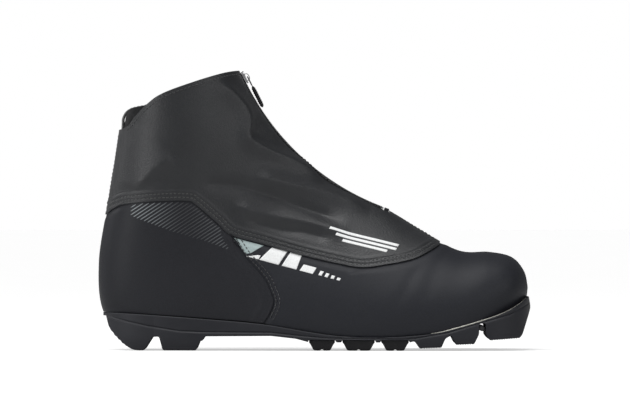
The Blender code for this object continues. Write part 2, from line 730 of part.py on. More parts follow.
def profile_body(name, stations, look, smooth_angle=32):
    """A body lofted along X; each station is (x, rows), a row being (right y, left y, z), top first."""
    points, faces = [], []
    rows = len(stations[0][1])
    for x, levels in stations:
        points += [(x, right, z) for right, left, z in levels]
        points += [(x, left, z) for right, left, z in reversed(levels)]
    ring = 2 * rows
    for i in range(len(stations) - 1):
        for k in range(ring):
            n = (k + 1) % ring
            faces.append((i * ring + k, i * ring + n, (i + 1) * ring + n, (i + 1) * ring + k))
    last = (len(stations) - 1) * ring
    faces.append(tuple(range(ring)))
    faces.append(tuple(range(last + ring - 1, last - 1, -1)))
    return add_mesh(name, points, faces, look, smooth_angle)


def outsole_stations():
    """Sections of the outsole along X: its rim, its waist and its tread."""
    line = underside()
    xs = sorted({round(x, 3) for x, _ in line}
                | {SOLE_HEEL_X + d for d in (0.6, 1.4)}
                | {float(x) for x in range(-70, -4, 10)} | {126.0, 130.0, 134.0, 138.0, 146.0})
    stations = []
    for x in xs:
        top = min(height_on(FEATHER_LINE, x) - GAP, height_on(TOE_LIP, x))
        low = min(height_on(line, x), top - 1.0)
        middle = max(low + (top - low) * 0.55, low + 0.3)
        right, left = (max(sole_half(x, sign), 3.0) for sign in (-1, 1))
        rows = [(-right, left, top), (-right + 0.2, left - 0.2, middle), (-right + 2.2, left - 2.2, low)]
        stations.append((x, rows))
    return stations


def build_outsole(look, tread_look, steel, shank_look):
    """The outsole with its guide channels, and the bars, shank and black blocks set into it."""
    sole = profile_body("outsole", outsole_stations(), look)
    for side, sign in SIDES.items():
        heel = [(-106, -3), (-106, 9.6), (-80, 9.6), (-80, -3)]
        ball = [(-12, -3), (-12, 6.6), (62, 6.6), (80, 8.4), (100, 12.4), (130, 12.6), (130, -3)]
        y0, y1 = sorted((sign * (GROOVE_Y - GROOVE_HALF), sign * (GROOVE_Y + GROOVE_HALF)))
        for part, outline in (("heel", heel), ("ball", ball)):
            cutter = helper(prism(f"groove_{part}_{side}", outline, y0, y1, look))
            boolean(sole, cutter, "DIFFERENCE")
    front_x, front_z = BARS["toe_bar_front"]
    slot = helper(box("toe_slot", (front_x, 0, front_z - 5.4), (8.4, 38, 17.6), look))
    boolean(sole, slot, "DIFFERENCE")
    for name, (x, z) in BARS.items():
        reach = BAR_HALF_LENGTH + 0.5
        seat = helper(rod(f"{name}_seat", (x, -reach, z), (x, reach, z), BAR_R + GAP, steel))
        boolean(sole, seat, "DIFFERENCE")
        rod(name, (x, -BAR_HALF_LENGTH, z), (x, BAR_HALF_LENGTH, z), BAR_R, steel)
    build_shank(sole, look, shank_look)
    for k, (low_x, high_x) in enumerate(INSERTS):
        build_insert(f"ball_tread_{k + 1}", low_x, high_x, tread_look)


def build_shank(sole, look, shank_look):
    """A steel strip under the waist, in a pocket of the outsole, sloping with the feather line."""
    span = 80.0
    rise = height_on(FEATHER_LINE, SHANK_X + span / 2) - height_on(FEATHER_LINE, SHANK_X - span / 2)
    tilt = Matrix.Rotation(math.atan2(rise, -span) + math.pi, 3, "Y")
    centre = Vector((SHANK_X, 0, height_on(FEATHER_LINE, SHANK_X) - 2.7))
    room = (2 * SHANK_HALF + 1, SHANK_WIDTH + 1, 6.0)
    pocket = helper(box("shank_pocket", centre + tilt @ Vector((0, 0, 2.0)), room, look, tilt))
    boolean(sole, pocket, "DIFFERENCE")
    box("shank", centre, (2 * SHANK_HALF, SHANK_WIDTH, SHANK_THICK), shank_look, tilt)


def build_insert(name, low_x, high_x, look):
    """One black tread block: a web under the outsole and three pads between the guide channels."""
    lean = 3.2
    stations = []
    ramp = [(0, 5.2), (0.6, 5.0), (lean, 0.3), (lean + 2, 0.0)]
    heights = [(low_x + d, low) for d, low in ramp] + [(high_x - d, low) for d, low in reversed(ramp)]
    for x, low in heights:
        right, left = sole_half(x, -1) - 2.4, sole_half(x, 1) - 2.4
        stations.append((x, [(-right, left, INSERT_TOP - GAP), (-right + 1.6, left - 1.6, low)]))
    block = profile_body(name, stations, look)
    for side, sign in SIDES.items():
        y0, y1 = sorted((sign * (GROOVE_Y - GROOVE_HALF), sign * (GROOVE_Y + GROOVE_HALF)))
        outline = [(low_x - 2, -3), (low_x - 2, 5.6), (high_x + 2, 5.6), (high_x + 2, -3)]
        boolean(block, helper(prism(f"{name}_channel_{side}", outline, y0, y1, look)), "DIFFERENCE")


def plate(name, low_gap, thickness, inset, look):
    """A flat layer inside the boot that follows the feather line."""
    stations = []
    xs = [-137, -134, -128, -120] + list(range(-105, 111, 15)) + [120, 128, 134, 137.5]
    for x in xs:
        low = height_on(FEATHER_LINE, x) + low_gap
        right, left = (max(half_breadth(x, low, s, inset) - 1.8, 2.0) for s in (-1, 1))
        stations.append((x, [(-right, left, low + thickness), (-right, left, low)]))
    return profile_body(name, stations, look)


def main():
    clear_scene()
    softshell = material("softshell", (0.030, 0.032, 0.037), 0.62)
    vamp_skin = material("vamp_skin", (0.028, 0.030, 0.037), 0.48)
    stiff = material("stiffener_board", (0.35, 0.33, 0.28), 0.7)
    lining = material("lining_fleece", (0.05, 0.05, 0.055), 0.95)
    webbing = material("webbing", (0.018, 0.018, 0.02), 0.8)
    sole_rubber = material("sole_rubber", (0.022, 0.024, 0.029), 0.5)
    tread_rubber = material("tread_rubber", (0.006, 0.006, 0.007), 0.6)
    zip_plastic = material("zip_plastic", (0.08, 0.08, 0.085), 0.45)
    metal = material("plated_steel", (0.55, 0.55, 0.56), 0.28, 1.0)
    board = material("lasting_board", (0.30, 0.24, 0.17), 0.85)
    foam = material("footbed_foam", (0.09, 0.09, 0.10), 0.9)
    lace = material("lace_cord", (0.02, 0.02, 0.022), 0.85)
    spread = {side: axis_empty(f"cover_{side}_axis", SPREAD_AT, None, spread_axis(sign))
              for side, sign in SIDES.items()}
    build_cover(softshell, spread)
    build_lower(vamp_skin, vamp_skin, stiff)
    build_liner(lining)
    build_tongue(lining)
    build_eyestays(webbing, metal)
    build_lace(lace)
    build_zip(webbing, zip_plastic, metal, tread_rubber, spread)
    build_heel_loop(webbing)
    build_outsole(sole_rubber, tread_rubber, metal, metal)
    plate("lasting_board", 0.4, BOARD_THICK, LINER[1], board)
    plate("footbed", BOARD_THICK + 0.8, FOOTBED_THICK, LINER[1], foam)


main()
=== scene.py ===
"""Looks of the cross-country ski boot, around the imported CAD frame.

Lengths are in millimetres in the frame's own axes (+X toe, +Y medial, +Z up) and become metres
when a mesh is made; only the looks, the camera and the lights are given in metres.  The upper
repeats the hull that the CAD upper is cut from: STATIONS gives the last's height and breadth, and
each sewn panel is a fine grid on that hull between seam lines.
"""
import math

import bmesh
import bpy
import numpy as np
from mathutils import Matrix, Vector


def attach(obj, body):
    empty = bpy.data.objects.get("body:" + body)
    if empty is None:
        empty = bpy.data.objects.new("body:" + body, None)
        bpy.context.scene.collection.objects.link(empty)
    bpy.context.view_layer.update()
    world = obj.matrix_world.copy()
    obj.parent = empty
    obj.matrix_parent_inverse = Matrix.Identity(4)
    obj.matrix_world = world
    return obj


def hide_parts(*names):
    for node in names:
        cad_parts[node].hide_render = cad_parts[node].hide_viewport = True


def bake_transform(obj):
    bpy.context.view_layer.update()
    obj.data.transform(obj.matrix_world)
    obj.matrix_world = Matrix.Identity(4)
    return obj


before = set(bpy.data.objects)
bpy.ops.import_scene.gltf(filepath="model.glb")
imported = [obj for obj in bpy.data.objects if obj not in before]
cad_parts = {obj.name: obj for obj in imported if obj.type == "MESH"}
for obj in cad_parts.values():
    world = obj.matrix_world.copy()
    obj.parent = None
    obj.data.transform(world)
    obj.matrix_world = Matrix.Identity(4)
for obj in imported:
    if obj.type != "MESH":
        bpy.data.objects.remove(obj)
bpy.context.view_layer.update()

MM = 0.001
SIDES = {"left": 1.0, "right": -1.0}

# ---------------------------------------------------------------- shape shared with the CAD

ZIP_X, ZIP_Z, ZIP_R = 109.5, 263.9, 175.5
ZIP_TOP, ZIP_END = 66.0, 20.5
SLIDER_AT = 65.1
PIVOT = (0.4, 2.95)
PULL_LIFT = 1.8
EDGE_Y = 5.5
EYELET_ANGLES = [29, 35.5, 42, 48.5, 55]
EYELET_Y = 15.0
HALVINGS = 34  # steps of a search for s by halving

HEM = [
    (-176, 80), (-147.4, 93.8), (-140.4, 98.6), (-130, 102.2), (-104.7, 104), (-88, 104),
    (-82.5, 101.5), (-68.3, 89.3), (-57.8, 80.2), (-35.4, 73.9), (-10, 66.6), (16.6, 60.4),
    (33, 57.8), (49.8, 59.8), (67, 63.2), (78, 68), (89.5, 75.3), (112, 92),
]
HEEL_SEAM = [
    (-58.6, 81.6), (-49.4, 66.2), (-36.2, 51.2), (-30.4, 40), (-28.7, 33.5), (-31.5, 25.8),
    (-37, 17), (-41, 8),
]
COLLAR = [
    (-38, 196.5), (-50.8, 195.4), (-66, 192.5), (-94, 183.4), (-108, 177.6), (-115.5, 172.2),
    (-121, 167.2), (-126.5, 161), (-132, 155), (-146, 152),
]
LINER_RIM = [
    (-38, 195.2), (-51, 194.1), (-66.4, 191.2), (-94.4, 182.1), (-108.5, 176.5), (-114.6, 172.2),
    (-119.6, 169.2), (-124.4, 168.2), (-128, 167), (-130.2, 165.2), (-131.8, 162.4), (-134, 156),
    (-146, 152),
]
FEATHER = [
    (-176, 27), (-144.4, 26.6), (-117, 25.2), (-77, 22.3), (-37, 18.8), (-10, 14.4), (16.5, 10.6),
    (48.7, 9.6), (81, 12), (97, 15.4), (118.4, 21.6), (134.5, 27.6), (144.6, 34), (151, 38.6),
    (176, 52),
]


def arc_point(angle, depth=0.0):
    """Side-view point of the zip's arc; depth is measured away from the arc's centre."""
    t = math.radians(angle)
    return ZIP_X - (ZIP_R + depth) * math.sin(t), ZIP_Z - (ZIP_R + depth) * math.cos(t)


# Top x, top z, bottom x, bottom z, lateral and medial half breadth, height share of the widest
# point, and the powers that round the section below and above it.
STATIONS = np.array([
    (*arc_point(78), -132.5, 212, 37, 37, 0.48, 0.45, 0.50),
    (*arc_point(67), -136.3, 158, 38.5, 38.5, 0.46, 0.45, 0.50),
    (*arc_point(58), -144.0, 107, 38.5, 38.5, 0.42, 0.44, 0.50),
    (*arc_point(51), -151.0, 60, 36.5, 36.5, 0.36, 0.42, 0.52),
    (*arc_point(45), -146.5, 24, 35.5, 35.5, 0.32, 0.38, 0.54),
    (*arc_point(38), -122, 3, 36.5, 36.0, 0.28, 0.33, 0.58),
    (*arc_point(30), -70, 2, 38.5, 37.5, 0.28, 0.30, 0.60),
    (*arc_point(21), -16, -2, 43.0, 41.5, 0.28, 0.29, 0.60),
    (75, 83.2, 42, -6, 48.6, 47.0, 0.29, 0.29, 0.55),
    (101, 69.4, 88, -3, 48.5, 49.0, 0.32, 0.30, 0.46),
    (122, 68.4, 118, 8, 43.5, 46.5, 0.34, 0.32, 0.42),
    (138, 64.8, 137, 20, 34.0, 38.0, 0.36, 0.38, 0.42),
    (146.6, 55, 146.6, 31, 18.0, 23.0, 0.40, 0.45, 0.45),
    (149.2, 43.6, 149.2, 43.2, 0.2, 0.2, 0.50, 0.50, 0.50),
])
TOE_FROM = 9.0
TOE_CENTRE = (104.0, 38.0)
LAST_STATION = len(STATIONS) - 1


def catmull(table, at):
    """Smooth curve through the rows of a table, at fractional row numbers."""
    table = np.asarray(table, float)
    at = np.asarray(at, float)
    i = np.clip(np.floor(at).astype(int), 0, len(table) - 2)
    u = (at - i)[..., None]
    a, b = table[np.maximum(i - 1, 0)], table[i]
    c, d = table[i + 1], table[np.minimum(i + 2, len(table) - 1)]
    square, cube = 2 * a - 5 * b + 4 * c - d, 3 * b - a - 3 * c + d
    return 0.5 * (2 * b + (c - a) * u + square * u ** 2 + cube * u ** 3)


def smooth_line(points, steps=3):
    return catmull(points, np.arange((len(points) - 1) * steps + 1) / steps)


HEM_LINE = smooth_line(HEM, 8)
HEEL_SEAM_LINE = smooth_line(HEEL_SEAM, 8)
COLLAR_LINE = smooth_line(COLLAR, 6)
LINER_RIM_LINE = smooth_line(LINER_RIM, 6)
FEATHER_LINE = smooth_line(FEATHER)


def ends(s, inset=0.0):
    """Top, bottom, half breadths and rounding of the sections at s, drawn in by inset."""
    tx, tz, bx, bz, lateral, medial, widest, low, high = np.moveaxis(catmull(STATIONS, s), -1, 0)
    length = np.maximum(np.hypot(tx - bx, tz - bz), 1e-6)
    ux, uz = (tx - bx) / length, (tz - bz) / length
    share = np.clip((np.asarray(s) - TOE_FROM) / 2.0, 0, 1)
    moved = []
    for x, z, sign in ((tx, tz, -1), (bx, bz, 1)):
        ax, az = x + sign * ux * inset, z + sign * uz * inset
        cx, cz = x - TOE_CENTRE[0], z - TOE_CENTRE[1]
        reach = np.hypot(cx, cz)
        rx, rz = x - cx / reach * inset, z - cz / reach * inset
        moved.append((ax + (rx - ax) * share, az + (rz - az) * share))
    lateral = (lateral - inset) * (1 - share) + lateral * (1 - inset / 45.0) * share
    medial = (medial - inset) * (1 - share) + medial * (1 - inset / 45.0) * share
    return moved[0], moved[1], lateral, medial, widest, low, high


def breadth(h, widest, low, high):
    h = np.clip(h, 0, 1)
    return (h / widest) ** low * ((1 - h) / (1 - widest)) ** high


def skin(s, phi, side, inset=0.0):
    """Points of the hull: phi runs up one side from the sole (0) to the top (pi)."""
    (tx, tz), (bx, bz), lateral, medial, widest, low, high = ends(s, inset)
    h = (1 - np.cos(phi)) / 2
    y = side * (lateral if side < 0 else medial) * breadth(h, widest, low, high)
    return np.stack([bx + (tx - bx) * h, y, bz + (tz - bz) * h], -1)


def locate(x, z, inset=0.0):
    """s and phi of the hull at side-view points."""
    x, z = np.broadcast_arrays(np.asarray(x, float), np.asarray(z, float))

    def off(s):
        (tx, tz), (bx, bz) = ends(s, inset)[:2]
        return (tx - bx) * (z - bz) - (tz - bz) * (x - bx)

    low_s, high_s = np.zeros(x.shape), np.full(x.shape, LAST_STATION - 0.001)
    start = off(low_s)
    for _ in range(HALVINGS):
        middle = (low_s + high_s) / 2
        beyond = start * off(middle) <= 0
        high_s = np.where(beyond, middle, high_s)
        low_s = np.where(beyond, low_s, middle)
    (tx, tz), (bx, bz) = ends(low_s, inset)[:2]
    h = ((x - bx) * (tx - bx) + (z - bz) * (tz - bz)) / ((tx - bx) ** 2 + (tz - bz) ** 2)
    return low_s, np.arccos(1 - 2 * np.clip(h, 0, 1))


def half_breadth(x, z, side, inset=0.0):
    """Half breadth of the hull at side-view points."""
    s, phi = locate(x, z, inset)
    return np.abs(skin(s, phi, side, inset)[..., 1])


def phi_on(line, s):
    """phi at which the sections at s cross a side-view line, kept between 0 and pi."""
    s = np.asarray(s, float)
    flat = s.reshape(-1)
    (tx, tz), (bx, bz) = ends(flat)[:2]
    dx, dz = (tx - bx)[:, None], (tz - bz)[:, None]
    x, z = line[:, 0][None], line[:, 1][None]
    side = dx * (z - bz[:, None]) - dz * (x - bx[:, None])
    along = (dx * (x - bx[:, None]) + dz * (z - bz[:, None])) / (dx ** 2 + dz ** 2)
    change = side[:, :-1] * side[:, 1:] <= 0
    share = side[:, :-1] / np.where(side[:, :-1] == side[:, 1:], 1, side[:, :-1] - side[:, 1:])
    h = along[:, :-1] + (along[:, 1:] - along[:, :-1]) * share
    miss = np.where(change, np.maximum(np.maximum(-h, h - 1), 0), 1e9)
    best = np.argmin(miss, 1)
    h = np.clip(h[np.arange(len(flat)), best], 0, 1)
    return np.arccos(1 - 2 * h).reshape(s.shape)


def phi_at_y(y, s, inset=0.0):
    """phi over the instep at which the section is y wide."""
    _, _, lateral, medial, widest, low, high = ends(s, inset)
    want = y / np.minimum(lateral, medial)
    below, above = widest + 0 * want, np.ones_like(want)
    for _ in range(30):
        middle = (below + above) / 2
        wide = breadth(middle, widest, low, high) > want
        below, above = np.where(wide, middle, below), np.where(wide, above, middle)
    return np.arccos(1 - 2 * below)


def at_height(line, z):
    """x of a line that falls or rises steadily, at height z."""
    order = np.argsort(line[:, 1])
    return np.interp(z, line[order, 1], line[order, 0])


def line_z(line, x):
    order = np.argsort(line[:, 0])
    return np.interp(x, line[order, 0], line[order, 1])


def solve_s(test, low_s, high_s, shape):
    """s at which test(s) turns from positive to negative, by halving."""
    low_s, high_s = np.full(shape, low_s, float), np.full(shape, high_s, float)
    for _ in range(HALVINGS):
        middle = (low_s + high_s) / 2
        positive = test(middle) > 0
        low_s, high_s = np.where(positive, middle, low_s), np.where(positive, high_s, middle)
    return low_s


def distance_to(line, x, z):
    """Side-view distance from points to a polyline."""
    x, z = np.asarray(x, float), np.asarray(z, float)
    best = np.full(x.shape, 1e9)
    for (ax, az), (bx, bz) in zip(line[:-1], line[1:]):
        dx, dz = bx - ax, bz - az
        t = np.clip(((x - ax) * dx + (z - az) * dz) / (dx * dx + dz * dz), 0, 1)
        best = np.minimum(best, np.hypot(x - ax - t * dx, z - az - t * dz))
    return best


def running(steps):
    """Sums of the steps so far, from 0."""
    return np.concatenate([[0], np.cumsum(steps)])


def run_length(points):
    """Distance run along a path, at each of its points."""
    return running(np.linalg.norm(np.diff(points, axis=0), axis=-1))


def evenly(line, count):
    """Evenly spaced points along a polyline."""
    run = run_length(line)
    at = np.linspace(0, run[-1], count)
    return np.stack([np.interp(at, run, values) for values in np.asarray(line, float).T], -1)


def unit(vectors):
    return vectors / np.maximum(np.linalg.norm(vectors, axis=-1, keepdims=True), 1e-9)


def hump(value, centre, width):
    """A bell of height 1 about a centre."""
    return np.exp(-((value - centre) / width) ** 2)


def ease(a, b, x):
    """0 below a, 1 above b, smooth between."""
    t = np.clip((np.asarray(x, float) - a) / (b - a), 0, 1)
    return t * t * (3 - 2 * t)


# ---------------------------------------------------------------- meshes

def placed(name, data):
    """A new object in the scene."""
    obj = bpy.data.objects.new(name, data)
    bpy.context.scene.collection.objects.link(obj)
    return obj


def mesh_object(name, points, faces, look, slot=None, uv=None, smooth=True):
    """An object from points and texture coordinates in millimetres."""
    mesh = bpy.data.meshes.new(name)
    mesh.from_pydata((np.asarray(points, float) * MM).tolist(), [], faces)
    if uv is not None:
        layer = mesh.uv_layers.new(name="UVMap")
        index = np.zeros(len(mesh.loops), np.int32)
        mesh.loops.foreach_get("vertex_index", index)
        layer.data.foreach_set("uv", (np.asarray(uv, float) * MM)[index].astype(np.float32).ravel())
    mesh.materials.append(look)
    obj = placed(name, mesh)
    if smooth:
        mesh.shade_smooth()
    return obj


def stand_for(obj, body, *nodes):
    """The object takes the place of CAD nodes, if any, and moves with a body."""
    if nodes:
        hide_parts(*nodes)
    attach(obj, body)


def grid_faces(rows, columns, first=0, flip=False):
    i, j = np.meshgrid(np.arange(rows - 1), np.arange(columns - 1), indexing="ij")
    a = first + i * columns + j
    quads = np.stack([a, a + 1, a + columns + 1, a + columns], -1).reshape(-1, 4)
    return (quads[:, ::-1] if flip else quads).tolist()


def grid_arrays(points, side):
    """Arrays of a grid of points whose faces look out on its side of the boot."""
    return points.reshape(-1, 3), grid_faces(*points.shape[:2], flip=side > 0)


def grid_sheet(name, points, side, look, slot):
    return mesh_object(name, *grid_arrays(points, side), look, slot, arc_lengths(points))


def slab(top, bottom):
    """Arrays of a closed plate between two grids of points."""
    rows, columns = top.shape[:2]
    count = rows * columns
    index = np.arange(count).reshape(rows, columns)
    rim = [*index[0], *index[1:, -1], *index[-1, -2::-1], *index[-2:0:-1, 0]]
    rim = [int(i) for i in rim]
    faces = grid_faces(rows, columns) + grid_faces(rows, columns, count, True)
    faces += [(b, a, count + a, count + b) for a, b in zip(rim, rim[1:] + rim[:1])]
    return np.concatenate([top.reshape(-1, 3), bottom.reshape(-1, 3)]), faces


def loft(rings, closed=False):
    """Arrays of a body through rings of as many points each, capped unless it closes on itself."""
    rings = np.asarray(rings)
    rows, around = rings.shape[:2]
    i, k = np.meshgrid(np.arange(rows if closed else rows - 1), np.arange(around), indexing="ij")
    m, n = (i + 1) % rows, (k + 1) % around
    corners = [i * around + k, i * around + n, m * around + n, m * around + k]
    faces = np.stack(corners, -1).reshape(-1, 4).tolist()
    if not closed:
        faces += [list(range(around - 1, -1, -1)), list(range((rows - 1) * around, rows * around))]
    return rings.reshape(-1, 3), faces


def cleaned(obj, merge, dissolve=False):
    """Welds points within merge, dissolves what has no area if told to, and turns the faces outwards."""
    work = bmesh.new()
    work.from_mesh(obj.data)
    if merge:
        bmesh.ops.remove_doubles(work, verts=work.verts, dist=merge * MM)
    if dissolve:
        bmesh.ops.dissolve_degenerate(work, edges=work.edges, dist=1e-7)
    bmesh.ops.recalc_face_normals(work, faces=work.faces)
    work.to_mesh(obj.data)
    work.free()


def add_bevel(obj, width, segments, angle):
    bevel = obj.modifiers.new("edge", "BEVEL")
    bevel.width = width * MM
    bevel.segments = segments
    bevel.limit_method = "ANGLE"
    bevel.angle_limit = math.radians(angle)
    bevel.use_clamp_overlap = True


def finish_sheet(obj, thickness, edge=0.0, merge=0.0, group=""):
    """Gives a sheet its thickness, scaled by a vertex group if named, and rounds its cut edges."""
    cleaned(obj, merge, dissolve=True)
    solid = obj.modifiers.new("thickness", "SOLIDIFY")
    solid.thickness = thickness * MM
    solid.offset = -1
    solid.vertex_group = group
    if edge:
        add_bevel(obj, edge, 3, 50)
    return bake_modifiers(obj)


def bake_modifiers(obj):
    """Replaces the object's mesh by what its modifiers make of it."""
    graph = bpy.context.evaluated_depsgraph_get()
    made = bpy.data.meshes.new_from_object(obj.evaluated_get(graph), depsgraph=graph)
    obj.modifiers.clear()
    made.name = obj.data.name
    obj.data = made
    made.shade_smooth()
    made.set_sharp_from_angle(angle=math.radians(62))
    return obj


def half_panel(side, edge, stop, low_line, high, columns, shares, offset, inset=0.0):
    """A grid on one side of the boot, from an edge to the section at s = stop.

    edge(phi_of) gives s where each row meets the edge.  The rows lie at shares of the way from the
    side-view line low_line to high(s), and offset(x, z, s, side) moves the grid out.
    """
    def phi_at(s, share):
        low = phi_on(low_line, s)
        return low + (high(s) - low) * share

    def phi_of(s):
        return phi_at(s, shares[:, None])

    start = edge(phi_of)
    s = np.linspace(start.mean(), stop, 1600)
    run = np.zeros(len(s))
    for share in (0.0, 0.35, 1.0):
        length = run_length(skin(s, phi_at(s, share), side, inset))
        run += length / length[-1]
    even = (np.interp(np.linspace(0, run[-1], columns), run, s) - s[0]) / (stop - s[0])
    s = start + (stop - start) * even
    phi = phi_of(s)
    return surface(s, phi, side, offset, inset=inset)[0], phi


def panel_pair(name, make, look, slot, mapped=True):
    """One sheet from the grids that make(side) gives, joined on the middle plane; also its points."""
    parts, uvs = [], []
    for side in SIDES.values():
        points, phi = make(side)
        points[..., 1] = np.where((phi > math.pi - 1e-4) | (phi < 1e-4), 0, points[..., 1])
        uvs.append(arc_lengths(points) * (1, side))
        parts.append(grid_arrays(points, side))
    points, faces = joined(parts)
    return mesh_object(name, points, faces, look, slot, np.concatenate(uvs) if mapped else None), points


def even_seam(pieces, side, shares=None):
    """s and phi of evenly spaced points along a seam made of curves (s, phi, number of points)."""
    made = []
    for s, phi, count in pieces:
        run = run_length(skin(s, phi, side))
        at = (np.linspace(0, 1, count) if shares is None else shares) * run[-1]
        made.append(np.stack([np.interp(at, run, s), np.interp(at, run, phi)], -1)[1 if made else 0:])
    return np.concatenate(made)


def patch(side, bottom, top, left, right, rows, offset):
    """A panel blended between four seams; returns its points and phi.

    Bottom and top are lists of curves that run forwards; left and right are one curve each, upwards.
    """
    b, t = even_seam(bottom, side)[None], even_seam(top, side)[None]
    l, r = even_seam([left], side, rows)[:, None], even_seam([right], side, rows)[:, None]
    u, v = np.linspace(0, 1, b.shape[1])[None, :, None], rows[:, None, None]
    corners = (1 - v) * ((1 - u) * b[:, :1] + u * b[:, -1:]) + v * ((1 - u) * t[:, :1] + u * t[:, -1:])
    place = (1 - v) * b + v * t + (1 - u) * l + u * r - corners
    s, phi = place[..., 0], np.clip(place[..., 1], 0, math.pi)
    return surface(s, phi, side, offset)[0], phi


def arc_lengths(points):
    """Distances along both directions of a grid, as texture coordinates of its points."""
    u = running(np.linalg.norm(np.diff(points, axis=1), axis=-1).mean(0))
    v = running(np.linalg.norm(np.diff(points, axis=0), axis=-1).mean(1))
    return np.stack(np.broadcast_arrays(u[None, :], v[:, None]), -1).reshape(-1, 2)


def flat(x, z, s, side):
    """No displacement."""
    return np.zeros(np.shape(x))


def normals_at(s, phi, side, inset=0.0):
    """Outward normals of the hull at points given by s and phi; on the middle plane they lie in it."""
    step = 2e-3
    near_middle = 0.03
    inner = np.clip(phi, near_middle, math.pi - near_middle)
    ahead = skin(s + step, inner, side, inset) - skin(s - step, inner, side, inset)
    up = skin(s, inner + step, side, inset) - skin(s, inner - step, side, inset)
    n = np.cross(up, ahead) * side
    n[..., 1] *= np.minimum(1, np.minimum(phi, math.pi - phi) / near_middle)
    return unit(n)


def surface(s, phi, side, offset=flat, lift=0.0, inset=0.0):
    """Points on a panel's outer face and the normals there."""
    base = skin(s, phi, side, inset)
    normal = normals_at(s, phi, side, inset)
    return base + normal * (offset(base[..., 0], base[..., 2], s, side) + lift)[..., None], normal


def nearest(points, s, phi, side):
    """s and phi of the hull points nearest to some points, from a first guess."""
    for _ in range(5):
        base = skin(s, phi, side)
        ds = (skin(s + 1e-3, phi, side) - base) * 1e3
        dp = (skin(s, phi + 1e-3, side) - base) * 1e3
        gap = points - base
        a, b, c = (ds * ds).sum(-1), (ds * dp).sum(-1), (dp * dp).sum(-1)
        e, f = (ds * gap).sum(-1), (dp * gap).sum(-1)
        det = np.maximum(a * c - b * b, 1e-9)
        s = np.clip(s + (c * e - b * f) / det, 0.02, LAST_STATION - 0.02)
        phi = np.clip(phi + (a * f - b * e) / det, 0.004, math.pi - 0.004)
    return s, phi


def trace(s, phi, side, spacing, shift=0.0, offset=flat, lift=0.0):
    """Evenly spaced points, tangents and normals along a line on a panel, moved sideways by shift."""
    if shift:
        points, normal = surface(s, phi, side)
        sideways = np.cross(normal, unit(np.gradient(points, axis=0)))
        s, phi = nearest(points + sideways * shift, s, phi, side)
    run = run_length(surface(s, phi, side, offset)[0])
    at = np.linspace(0, run[-1], max(int(run[-1] / spacing), 2) + 1)
    s, phi = np.interp(at, run, s), np.interp(at, run, phi)
    points, normal = surface(s, phi, side, offset, lift)
    return points, unit(np.gradient(points, axis=0)), normal


def trace_line(line, side, *more):
    """trace() along a side-view line."""
    return trace(*locate(line[:, 0], line[:, 1]), side, *more)


def sweep(points, normals, profile, closed=False):
    """Arrays of a closed profile of (across, out) pushed along a path, its ends capped."""
    points, profile = np.asarray(points, float), np.asarray(profile, float)
    if profile.ndim == 2:
        profile = np.broadcast_to(profile, (len(points), *profile.shape))
    round_trip = np.roll(points, -1, 0) - np.roll(points, 1, 0)
    tangent = unit(round_trip if closed else np.gradient(points, axis=0))
    across = unit(np.cross(normals, tangent))
    out = np.cross(tangent, across)
    rings = points[:, None] + across[:, None] * profile[..., :1] + out[:, None] * profile[..., 1:]
    return loft(rings, closed)


def circle(radius, sides, flatten=1.0):
    a = 2 * math.pi * np.arange(sides) / sides
    return np.stack([radius * np.cos(a), flatten * radius * np.sin(a)], -1)


def joined(parts):
    """One set of points and faces from several."""
    points, faces, first = [], [], 0
    for part_points, part_faces in parts:
        points.append(np.asarray(part_points, float))
        faces += [tuple(first + i for i in face) for face in part_faces]
        first += len(part_points)
    return np.concatenate(points), faces


def tidy_mesh(obj, angle=40, merge=1e-4):
    """Welds, turns the faces outwards and keeps only real corners sharp."""
    cleaned(obj, merge)
    obj.data.shade_smooth()
    obj.data.set_sharp_from_angle(angle=math.radians(angle))
    return obj


def bevelled(obj, width, segments=2):
    add_bevel(obj, width, segments, 35)
    return bake_modifiers(obj)


# ---------------------------------------------------------------- materials

def shade(colour, factor):
    return tuple(factor * c for c in colour)


